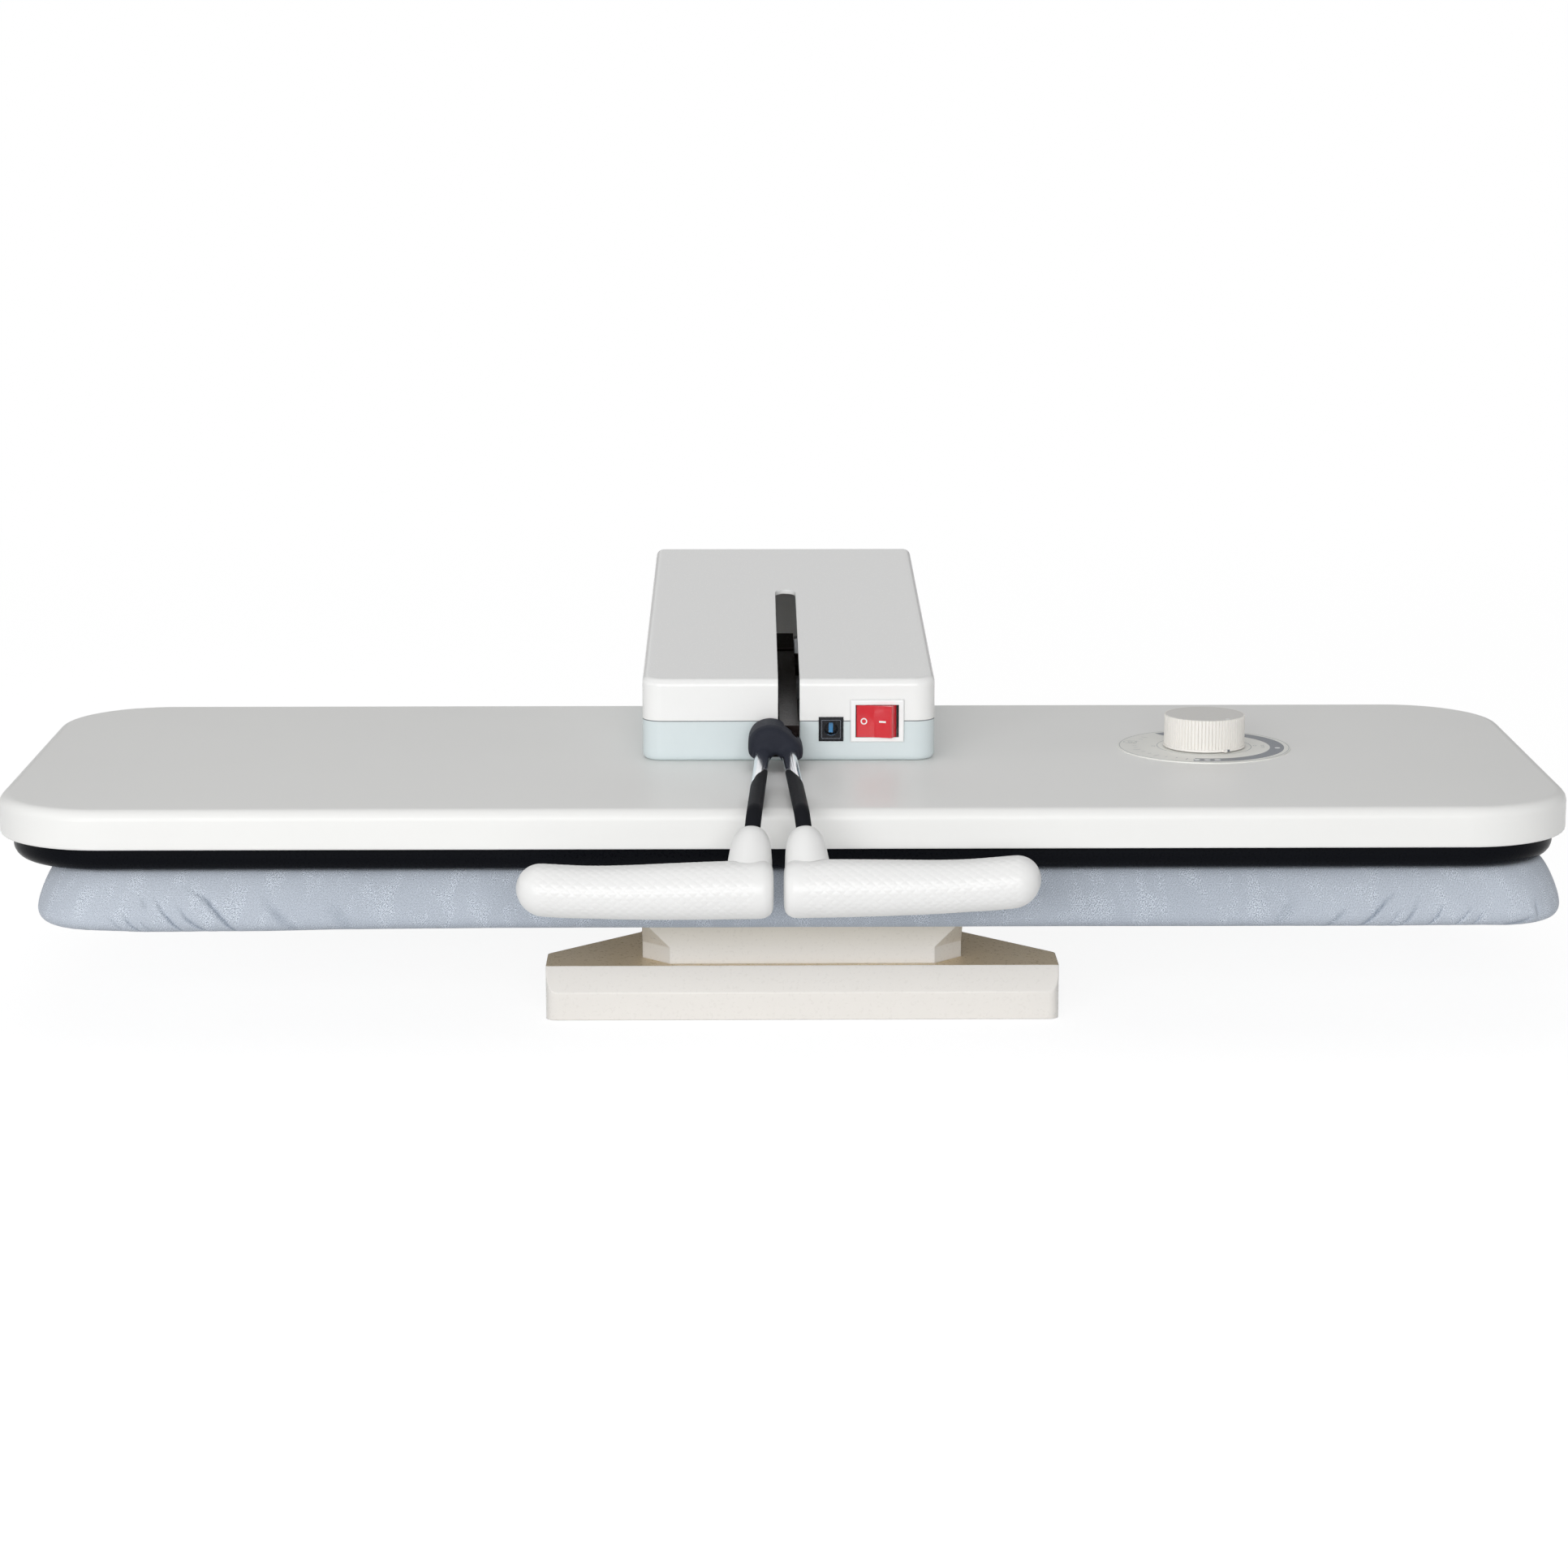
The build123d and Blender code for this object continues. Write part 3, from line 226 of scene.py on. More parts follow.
def surface(name, look):
    # One recipe for moulded, painted and metal surfaces: patchy colour, uneven gloss, grain and ripple
    material, tree, shader = newMaterial(name)
    place = addNode(tree, "ShaderNodeTexCoord").outputs["Object"]
    where = addNode(tree, "ShaderNodeMapping", {"Vector": place, "Scale": look.get("stretch", (1, 1, 1))})
    patch = noise(tree, place, look.get("patchScale", 9.0), 4.0)
    base, spread = look["colour"], look.get("spread", 0.04)
    patchy = blendColour(tree, patch, shade(base, 1 - spread), shade(base, 1 + spread))
    tree.links.new(markColour(tree, look, place, patchy), shader.inputs["Base Color"])
    grain = noise(tree, where.outputs["Vector"], look.get("grainScale", 900.0), 3.0, 0.6)
    gloss = ramp(tree, grain, 0.3, 0.7, *look["roughness"], smooth=False)
    tree.links.new(gloss, shader.inputs["Roughness"])
    normal = None
    if look.get("edgeRadius"):
        normal = addNode(tree, "ShaderNodeBevel", {"Radius": look["edgeRadius"]},
                         samples=look.get("edgeSamples", 6)).outputs["Normal"]
    normal = roughen(tree, grain, look.get("grainDepth", 2e-5), normal=normal)
    ripple = noise(tree, place, look.get("rippleScale", 60.0), 2.0)
    normal = roughen(tree, ripple, look.get("rippleDepth", 5e-5), normal=normal)
    tree.links.new(normal, shader.inputs["Normal"])
    for socket, value in look.get("sockets", {}).items():
        shader.inputs[socket].default_value = value
    return material


finishes = {
    "creamShell": {"colour": srgb(224, 218, 206), "roughness": (0.26, 0.32), "grainScale": 500,
        "grainDepth": 3e-6, "rippleScale": 90, "rippleDepth": 2e-5, "edgeRadius": 0.0014,
        # On the cream shell the upward faces, the wing tops under the board, are painted in shade warmed by
        # painted bounce light
        "edgeSamples": 12, "spread": 0.012, "upwardShadeColour": srgb(216, 191, 148),
        # lowPaintedLight paints the base lighter low down and leaves the pedestal darker up under the board's
        # shadow
        "lowPaintedLight": srgb(242, 238, 232), "lowTo": (0.034, 0.062),
        "sockets": {"Coat Weight": 0.2, "Coat Roughness": 0.1}},
    "coverPaint": {"colour": srgb(240, 240, 238), "roughness": (0.34, 0.42), "grainScale": 900,
        "grainDepth": 1e-5, "rippleScale": 220, "rippleDepth": 3e-5, "spread": 0.012,
        "sockets": {"Specular IOR Level": 0.35}},
    "consoleWhite": {"colour": srgb(241, 241, 240), "roughness": (0.2, 0.28), "grainScale": 1500,
        # seamAt paints a shade line along the joint between the console shells
        "grainDepth": 5e-6, "rippleDepth": 1e-5, "spread": 0.012, "edgeRadius": 0.0008, "seamAt": 0.1831,
        # The roof and other upward faces are painted darker as shade
        "upwardShadeColour": srgb(232, 232, 231), "sockets": {"Specular IOR Level": 0.4}},
    "consolePaleBlue": {"colour": srgb(213, 223, 225), "roughness": (0.18, 0.26), "grainScale": 1500,
        # seamAt paints a shade line along the joint with the upper shell
        "grainDepth": 5e-6, "spread": 0.015, "edgeRadius": 0.0008, "seamAt": 0.1831},
    "rimBlack": {"colour": srgb(10, 12, 17), "roughness": (0.24, 0.34), "grainScale": 500,
        "grainDepth": 1e-5, "spread": 0.15, "sockets": {"Specular IOR Level": 0.05}},
    "hotAluminium": {"colour": srgb(196, 197, 200), "roughness": (0.18, 0.34), "stretch": (3, 60, 60),
        "grainScale": 60, "grainDepth": 1e-5, "spread": 0.05,
        "sockets": {"Metallic": 1.0, "Anisotropic": 0.4}},
    "zincSteel": {"colour": srgb(176, 179, 182), "roughness": (0.32, 0.5), "patchScale": 60,
        "spread": 0.12, "grainScale": 400, "grainDepth": 1e-5, "edgeRadius": 0.0005,
        "sockets": {"Metallic": 1.0}},
    "leverBlack": {"colour": srgb(19, 10, 8), "roughness": (0.2, 0.3), "grainDepth": 1e-5, "spread": 0.12,
        "patchScale": 24, "edgeRadius": 0.0006, "sockets": {"Specular IOR Level": 0.06}},
    "platedScrews": {"colour": srgb(196, 197, 192), "roughness": (0.28, 0.4), "spread": 0.08,
        "edgeRadius": 0.0004, "sockets": {"Metallic": 1.0}},
    "groundSteel": {"colour": srgb(190, 191, 193), "roughness": (0.16, 0.26), "stretch": (1, 30, 30),
        "grainScale": 90, "spread": 0.05, "sockets": {"Metallic": 1.0}},
    "springWire": {"colour": srgb(96, 97, 100), "roughness": (0.28, 0.42), "spread": 0.1,
        "sockets": {"Metallic": 1.0}},
    "bushBronze": {"colour": srgb(186, 146, 92), "roughness": (0.3, 0.45), "spread": 0.1,
        "sockets": {"Metallic": 1.0}},
    "elementSheath": {"colour": srgb(112, 104, 98), "roughness": (0.35, 0.5), "patchScale": 30,
        "spread": 0.2, "sockets": {"Metallic": 0.9}},
    "fibreBoard": {"colour": srgb(198, 190, 168), "roughness": (0.7, 0.85), "grainScale": 500,
        "grainDepth": 8e-5, "spread": 0.1},
    "mattRubber": {"colour": srgb(30, 33, 43), "roughness": (0.6, 0.75), "grainScale": 1400,
        "grainDepth": 3e-5, "spread": 0.1, "rippleDepth": 4e-5, "sockets": {"Specular IOR Level": 0.2}},
    "switchWhite": {"colour": srgb(244, 245, 245), "roughness": (0.16, 0.22), "spread": 0.01,
        # wellFrom paints shade inside the switch's well and along the bezel's edge
        "edgeRadius": 0.0004, "wellFrom": -0.0462, "sockets": {"Coat Weight": 0.3}},
    "rockerRed": {"colour": srgb(214, 38, 50), "roughness": (0.14, 0.2), "patchScale": 60, "spread": 0.08,
        "edgeRadius": 0.0005, "sockets": {"Coat Weight": 0.5, "Coat Roughness": 0.05,
        "Subsurface Weight": 0.2, "Subsurface Scale": 0.002}},
    "socketBlack": {"colour": srgb(10, 12, 20), "roughness": (0.22, 0.32), "spread": 0.12,
        "edgeRadius": 0.0003, "sockets": {"Specular IOR Level": 0.25}},
    "insertBlue": {"colour": srgb(30, 140, 205), "roughness": (0.15, 0.25), "spread": 0.1,
        "sockets": {"Coat Weight": 0.5}},
    "dialFilm": {"colour": srgb(235, 235, 230), "roughness": (0.34, 0.42), "spread": 0.01,
        "grainDepth": 5e-6, "sockets": {"Specular IOR Level": 0.35}},
    "knobWhite": {"colour": srgb(243, 240, 235), "roughness": (0.34, 0.44), "spread": 0.015,
        "edgeRadius": 0.0002},
    "knobDisc": {"colour": srgb(214, 212, 208), "roughness": (0.3, 0.42), "spread": 0.02, "patchScale": 80},
    "tankMilky": {"colour": srgb(222, 228, 231), "roughness": (0.35, 0.45), "spread": 0.03,
        "sockets": {"Subsurface Weight": 0.3, "Subsurface Scale": 0.004}},
    "pumpGrey": {"colour": srgb(146, 149, 153), "roughness": (0.4, 0.55), "spread": 0.05,
        "edgeRadius": 0.0005},
    "siliconeTube": {"colour": srgb(215, 215, 212), "roughness": (0.3, 0.4), "spread": 0.04,
        "sockets": {"Subsurface Weight": 0.3, "Subsurface Scale": 0.003}},
    "boardGreen": {"colour": srgb(46, 112, 72), "roughness": (0.3, 0.45), "patchScale": 400, "spread": 0.2},
    "gripWhite": {"colour": srgb(236, 236, 235), "roughness": (0.3, 0.36), "grainScale": 1300,
        "grainDepth": 3e-6, "rippleDepth": 1e-5, "spread": 0.012, "sockets": {"Specular IOR Level": 0.4}},
    "padFoam": {"colour": srgb(226, 220, 198), "roughness": (0.85, 0.95), "grainScale": 700,
        "grainDepth": 0.0002, "spread": 0.06},
    "printSlate": {"colour": srgb(112, 118, 128), "roughness": (0.3, 0.4), "spread": 0.04},
    "printGrey": {"colour": srgb(170, 174, 176), "roughness": (0.3, 0.4), "spread": 0.04},
    "whitePrintAndHighlight": {"colour": srgb(240, 241, 241), "roughness": (0.3, 0.4), "spread": 0.02},
}
materials = {name: surface(name, look) for name, look in finishes.items()}
weaveLook = {
    "dark": srgb(127, 138, 153),
    "light": srgb(226, 233, 243),
    "ground": (0.38, 0.43),
    "endPaintedLight": 0.09,
    "foldShade": 0.4,
    "twill": 250.0,
    "yarn": 440.0,
    "speckleScale": 1350.0,
    "speckle": 1.95,
    "bandStretch": (80.0, 38.0, 1.0),
    "bandRange": (0.46, 0.66, 0.5, 1.7),
    "twillTurn": 38.0,
    "relief": 0.32,
    "endRange": (0.22, 0.46),
    "depth": 0.00012,
    "sockets": {"Roughness": 0.72, "Specular IOR Level": 0.35, "Sheen Weight": 0.12, "Sheen Roughness": 0.5},
}


def makeWeave(name, look):
    # Aluminised twill: diagonal ribs broken by the yarns, with bands where the weave packs closer
    material, tree, shader = newMaterial(name)
    lengths = addNode(tree, "ShaderNodeUVMap", uv_map="lengths").outputs["UV"]
    place = addNode(tree, "ShaderNodeTexCoord").outputs["Object"]
    turned = addNode(tree, "ShaderNodeMapping",
                     {"Vector": lengths, "Rotation": (0, 0, math.radians(look["twillTurn"]))})
    ribs = addNode(tree, "ShaderNodeTexWave", {"Vector": turned.outputs["Vector"], "Scale": look["twill"],
                                               "Distortion": 1.6, "Detail": 2.0, "Detail Scale": 1.5},
                   wave_type="BANDS", bands_direction="X")
    yarns = addNode(tree, "ShaderNodeTexWave", {"Vector": lengths, "Scale": look["yarn"], "Distortion": 1.2,
                                                "Detail": 2.0, "Detail Scale": 2.0},
                    wave_type="BANDS", bands_direction="Y")
    speckle = noise(tree, lengths, look["speckleScale"], 1.0, 0.6)
    bandPlace = addNode(tree, "ShaderNodeMapping", {"Vector": lengths, "Scale": look["bandStretch"]})
    bands = noise(tree, bandPlace.outputs["Vector"], 1.0, 4.0, 0.6)
    patches = noise(tree, place, 14.0, 3.0)
    packed = ramp(tree, bands, *look["bandRange"])
    weave = calc(tree, "MULTIPLY", ribs.outputs["Fac"], yarns.outputs["Fac"])
    grain = calc(tree, "MULTIPLY_ADD", speckle, look["speckle"], -0.5 * look["speckle"])
    height = calc(tree, "MULTIPLY_ADD", weave, look["relief"], grain)
    contrast = calc(tree, "MULTIPLY", height, packed)
    ground = ramp(tree, patches, 0.3, 0.7, *look["ground"])
    share = calc(tree, "ADD", contrast, ground)
    # Painted light: the cloth is made lighter towards both ends
    side = calc(tree, "ABSOLUTE", addNode(tree, "ShaderNodeSeparateXYZ", {"Vector": place}).outputs["X"])
    share = calc(tree, "ADD", share, ramp(tree, side, *look["endRange"], 0.0, look["endPaintedLight"]))
    # Painted shade in the creases, read from the creaseShade attribute
    creaseShade = addNode(tree, "ShaderNodeAttribute", attribute_name="creaseShade")
    share = calc(tree, "MULTIPLY_ADD", creaseShade.outputs["Fac"], -look["foldShade"], share)
    colour = blendColour(tree, ramp(tree, share, 0.0, 1.0, smooth=False), look["dark"], look["light"])
    tree.links.new(colour, shader.inputs["Base Color"])
    tree.links.new(roughen(tree, height, look["depth"], 0.8), shader.inputs["Normal"])
    for socket, value in look["sockets"].items():
        shader.inputs[socket].default_value = value
    return material


rodLook = {
    "chrome": srgb(226, 228, 233),
    "paintedDarkReflection": srgb(31, 32, 36),
    "dielectricSpecular": 0.006,
    # Where the plating ends and the painted dark reflection begins, in metres, and how far it leads on the
    # outer sides of the pair
    "boundary": -0.11,
    "middleX": -0.005,
    "outerLead": 3.6,
    "blur": 0.0012,
    "waver": 0.008,
    "waverScale": 110.0,
    "roughness": (0.1, 0.16),
    "darkReflectionRougher": 0.24,
    "rippleScale": 45.0,
    "rippleDepth": 2e-5,
}


def makeRodMetal(name, look):
    # Bright plating beside the boot; along the rest of the rod the colour is a painted dark reflection
    material, tree, shader = newMaterial(name)
    place = addNode(tree, "ShaderNodeTexCoord").outputs["Object"]
    split = addNode(tree, "ShaderNodeSeparateXYZ", {"Vector": place})
    waver = noise(tree, place, look["waverScale"], 1.0)
    aside = calc(tree, "ABSOLUTE", calc(tree, "SUBTRACT", split.outputs["X"], look["middleX"]))
    lead = calc(tree, "MULTIPLY_ADD", aside, look["outerLead"], split.outputs["Y"])
    edge = calc(tree, "MULTIPLY_ADD", waver, look["waver"], lead)
    middle = look["boundary"] + look["waver"] / 2
    share = ramp(tree, edge, middle - look["blur"], middle + look["blur"])
    # Painted reflection: the dark colour along the rods stands in for a dark reflection
    tree.links.new(blendColour(tree, share, look["paintedDarkReflection"], look["chrome"]), shader.inputs["Base Color"])
    tree.links.new(share, shader.inputs["Metallic"])
    gloss = ramp(tree, noise(tree, place, 700.0, 2.0), 0.3, 0.7, *look["roughness"])
    paintedDarkReflection = calc(tree, "SUBTRACT", 1.0, share)
    rough = calc(tree, "MULTIPLY_ADD", paintedDarkReflection, look["darkReflectionRougher"], gloss)
    tree.links.new(rough, shader.inputs["Roughness"])
    ripple = noise(tree, place, look["rippleScale"], 2.0)
    tree.links.new(roughen(tree, ripple, look["rippleDepth"]), shader.inputs["Normal"])
    shader.inputs["Specular IOR Level"].default_value = look["dielectricSpecular"]
    return material


materials["boardWeave"] = makeWeave("boardWeave", weaveLook)
materials["rodMetal"] = makeRodMetal("rodMetal", rodLook)
print("finishes ready:", len(materials))

slotFinish = {
    "cream_shell": "creamShell", "white_cover": "coverPaint", "white_console": "consoleWhite",
    "pale_blue_console": "consolePaleBlue", "black_rim": "rimBlack", "hot_aluminium": "hotAluminium",
    "zinc_steel": "zincSteel", "dark_steel": "leverBlack", "plated_fasteners": "platedScrews",
    "ground_steel": "groundSteel", "spring_steel": "springWire", "bronze": "bushBronze", "chrome": "rodMetal",
    "element_sheath": "elementSheath", "mica_board": "fibreBoard", "black_rubber": "mattRubber",
    "white_switch": "switchWhite", "red_rocker": "rockerRed", "black_socket": "socketBlack",
    "blue_insert": "insertBlue", "dial_print": "dialFilm", "white_knob": "knobWhite",
    "grey_disc": "knobDisc", "white_grips": "gripWhite", "clear_tank": "tankMilky",
    "pump_body": "pumpGrey", "silicone": "siliconeTube", "green_board": "boardGreen",
}
# The yoke inside the boot is blackened like the lever
nodeFinish = {"rod_yoke": "leverBlack"}
for part in frame["record"]["subparts"]:
    finish = nodeFinish.get(part["node"]) or slotFinish.get(part["material_slot"])
    if finish:
        target = nodes[part["node"]]
        target.data.materials.clear()
        target.data.materials.append(materials[finish])
print("frame pieces painted")


# The board's cover cloth and its pad

boardCloth = {
    "middle": (10.2, 184.0),
    "half": (489.6, 174.0),
    "corner": 47.0,
    "lowCorner": 41.0,
    "cornerEase": 10.0,
    "fineStep": 0.8,
    "coarseStep": 5.0,
    "endStep": 3.0,
    "fineFrom": 325.0,
    # Inset from the widest outline and height, from the hem's lip under the board to the top
    "profile": [(50.2, 75.55), (51.0, 75.5), (51.3, 75.3), (50.8, 75.1), (44, 75.0), (34, 75.0), (24, 75.0),
                (16, 75.1), (10.8, 75.4), (7.0, 76.1), (3.6, 77.6), (1.2, 80.2), (0.2, 83.8), (0.6, 88.6),
                (2.0, 94.0), (3.8, 99.0), (5.8, 103.6), (8.2, 108.0), (10.6, 111.2), (13.2, 112.9),
                (17, 113.5), (22, 113.6)],
    "profileRows": 92,
    "fineHeights": (75.3, 102.0),
    "coarseShare": 0.36,
    "topInsets": [28, 36, 48, 62, 80, 98, 116, 134, 150, 162, 170, 174],
    "topLevel": 113.6,
    # Depth of the shallow swells on top, and their lengths along and across
    "topSwell": (0.22, 31.0, 27.0),
    # The outline narrows to lowCorner between these heights, going down
    "narrowing": (108.0, 84.0),
    # How far the lower edge hangs or is drawn up, by distance round the outline from the front's middle
    "sag": [(-520, -1.1), (-500, -1.2), (-480, -1.1), (-456, -0.9), (-446, -1.2), (-435, -1.6),
            (-425, -2.1), (-404, -2.1), (-384, -1.85), (-343, -1.75), (-322, -1.3), (-302, -0.8),
            (-240, -0.3), (-200, 0), (200, 0.15), (260, 0), (380, 0), (400, 0.2), (440, 0.3), (470, 0)],
    "rearSag": -0.5,
    "sagFades": (100.0, 74.0),
    # Waves of the side as (depth, length, start, turn per millimetre of height)
    "waves": [(0.18, 23.0, 1.0, 0.0), (0.15, 9.7, 0.0, 1 / 11), (0.09, 4.1, 0.0, -1 / 7)],
    # Gathers of the hem under the board, by inset, deepest round the corners
    "gatherFrom": (3.0, 15.0),
    "gatherBelow": 78.0,
    "gatherDepth": (1.6, 0.096),
    "gatherLength": 1.9,
    # Shape of a crease and of the painted shade along it, its distances in widths of the crease
    "crease": {"inner": 2.0, "outer": 0.7, "ridgeAt": 2.4, "ridgeHalf": 1.3, "ridgeShare": 0.22,
               "start": 0.15, "growth": 1.7, "shadeHalf": 0.9, "shadeDepth": 1.8},
    # Folds as lines of (distance round the outline, height), each with its width and depth
    "folds": [
        ([(-439, 87), (-436, 83), (-432.5, 78)], 0.8, 0.9),
        ([(-430.5, 88), (-426, 82), (-420, 76)], 0.8, 1.6),
        ([(-421, 86), (-416, 80), (-413, 76.5)], 0.8, 0.9),
        ([(-420, 98.5), (-416.5, 92.5)], 1.6, 0.6),
        ([(-411.5, 98), (-404.5, 88.6), (-398.5, 82), (-393.5, 76.5)], 0.8, 2.1),
        ([(-395, 92.5), (-390, 85.4), (-384, 80.4), (-378, 76.5)], 1.0, 1.9),
        ([(-391, 102.5), (-383.5, 99), (-377, 95), (-372, 89.5), (-366.5, 84), (-361, 77.5)], 1.2, 2.0),
        ([(-343, 98), (-333, 87.5), (-324, 78)], 3.0, 0.9),
        ([(-300, 94), (-289, 80)], 4.0, 0.6),
        ([(313, 95), (305, 82)], 4.0, 0.7),
        ([(348, 90), (341, 83), (336, 77)], 2.0, 1.1),
        ([(379, 98.5), (372, 93), (367, 87.6), (362, 82), (357, 77)], 1.1, 2.1),
        ([(381.5, 88.5), (378, 83), (374.5, 77)], 0.8, 1.1),
        ([(393.5, 95), (389, 86.5), (385.5, 80.6), (382.5, 76.5)], 1.4, 1.4),
        ([(409.5, 94), (406, 86.4), (404, 82.7), (400, 77)], 0.9, 1.7),
        ([(426, 89), (422, 83.7), (417, 76.5)], 0.8, 1.6),
        ([(435, 88), (431.5, 82.6), (428, 76.5)], 0.7, 1.4),
        ([(471, 95), (469.5, 89), (470.5, 83)], 1.2, 0.8),
        ([(468, 83), (461, 79.6), (450, 77.5)], 1.5, 1.8),
    ],
}


def outlineColumns(look):
    # Each column is (x share, y share, x direction, y direction) round the rounded outline
    straight = look["half"][0] - look["corner"]
    fine = np.arange(look["fineFrom"], straight, look["fineStep"])
    coarse = np.arange(-look["fineFrom"], look["fineFrom"], look["coarseStep"])
    xShares = np.concatenate([-fine[::-1], coarse, fine]) / straight
    xShares = np.concatenate([[-1.0], xShares[1:]])
    yCount = int(2 * (look["half"][1] - look["corner"]) / look["endStep"])
    yShares = np.linspace(-1, 1, yCount, endpoint=False)
    arcCount = int(look["corner"] * math.pi / 2 / look["fineStep"])
    turn = np.linspace(0, math.pi / 2, arcCount, endpoint=False)
    columns = []
    for quarter in range(4):
        outward = (quarter - 1) * math.pi / 2
        nx, ny = round(math.cos(outward)), round(math.sin(outward))
        for share in (xShares if quarter % 2 == 0 else yShares):
            along = (-ny * share, nx * share)
            columns.append((nx + along[0], ny + along[1], nx, ny))
        ax, ay = nx - ny, ny + nx
        for angle in turn:
            columns.append((ax, ay, math.cos(outward + angle), math.sin(outward + angle)))
    return np.array(columns)


def outlineRing(look, columns, inset, low=0.0):
    half, depth = look["half"][0] - inset, look["half"][1] - inset
    ease = look["cornerEase"]
    corner = look["corner"] + (look["lowCorner"] - look["corner"]) * low
    corner -= inset / 2 if inset < ease else inset - ease / 2
    corner = max(corner, 0.0) if depth > 0 else 0.0
    x = look["middle"][0] + columns[:, 0] * (half - corner) + columns[:, 2] * corner
    y = look["middle"][1] + columns[:, 1] * (depth - corner) + columns[:, 3] * corner
    return x, y


def pathRound(look, columns, low):
    # Distance of each column round the outline, the whole way round, the distance from the middle
    # of the column's own long side, and which columns are the front's
    x, y = outlineRing(look, columns, 0.0, low)
    around = np.concatenate([[0], np.cumsum(np.hypot(np.diff(x), np.diff(y)))])
    closing = around[-1] + math.hypot(x[0] - x[-1], y[0] - y[-1])
    fromFront = (around + x[0] - look["middle"][0] + closing / 2) % closing - closing / 2
    front = np.abs(fromFront) < closing / 4
    fromMiddle = np.where(front, fromFront, (fromFront + closing) % closing - closing / 2)
    return around, closing, fromMiddle, front


def clothRows(look):
    # Close rows on the side, where the folds are, and wider ones under the board and on top
    fine = smoothLine(look["profile"], 600)
    low, high = look["fineHeights"]
    side = (fine[:, 1] > low) & (fine[:, 1] < high)
    steps = np.hypot(np.diff(fine[:, 0]), np.diff(fine[:, 1])) * np.where(side[1:], 1.0, look["coarseShare"])
    progress = np.concatenate([[0], np.cumsum(steps)])
    wanted = np.linspace(0, progress[-1], look["profileRows"])
    return np.interp(wanted, progress, fine[:, 0]), np.interp(wanted, progress, fine[:, 1])


def foldDepth(look, around, height):
    # A crease falls gently from its inner side and comes back steeply, with a low ridge beyond it; the second
    # result is painted shade along the crease
    crease = look["crease"]
    total = np.zeros_like(around)
    deepestShade = np.zeros_like(around)
    for line, width, depth in look["folds"]:
        best = np.full_like(around, 1e9)
        side = np.zeros_like(around)
        progress = np.zeros_like(around)
        for k, ((x0, z0), (x1, z1)) in enumerate(zip(line, line[1:])):
            dx, dz = x1 - x0, z1 - z0
            share = np.clip(((around - x0) * dx + (height - z0) * dz) / (dx * dx + dz * dz), 0, 1)
            gapX, gapZ = around - x0 - share * dx, height - z0 - share * dz
            gap = np.hypot(gapX, gapZ)
            nearer = gap < best
            best = np.where(nearer, gap, best)
            side = np.where(nearer, np.sign(gapX * dz - gapZ * dx) * np.sign(dx), side)
            progress = np.where(nearer, (k + share) / (len(line) - 1), progress)
        reach = best / width
        valley = np.where(side < 0, np.exp(-reach / crease["inner"]), np.exp(-reach / crease["outer"]))
        ridge = np.where(side < 0, 0, np.exp(-((reach - crease["ridgeAt"]) / crease["ridgeHalf"]) ** 2))
        fade = np.clip(crease["start"] + crease["growth"] * progress, 0, 1)
        total += depth * fade * (crease["ridgeShare"] * ridge - valley)
        dark = np.exp(-(reach / crease["shadeHalf"]) ** 2) * fade * min(1, depth / crease["shadeDepth"])
        deepestShade = np.maximum(deepestShade, dark)
    return total, deepestShade


def fallShare(height, span):
    # 0 above the span's first height, 1 below its second
    top, bottom = span
    return min(1.0, max(0.0, (top - height) / (top - bottom)))


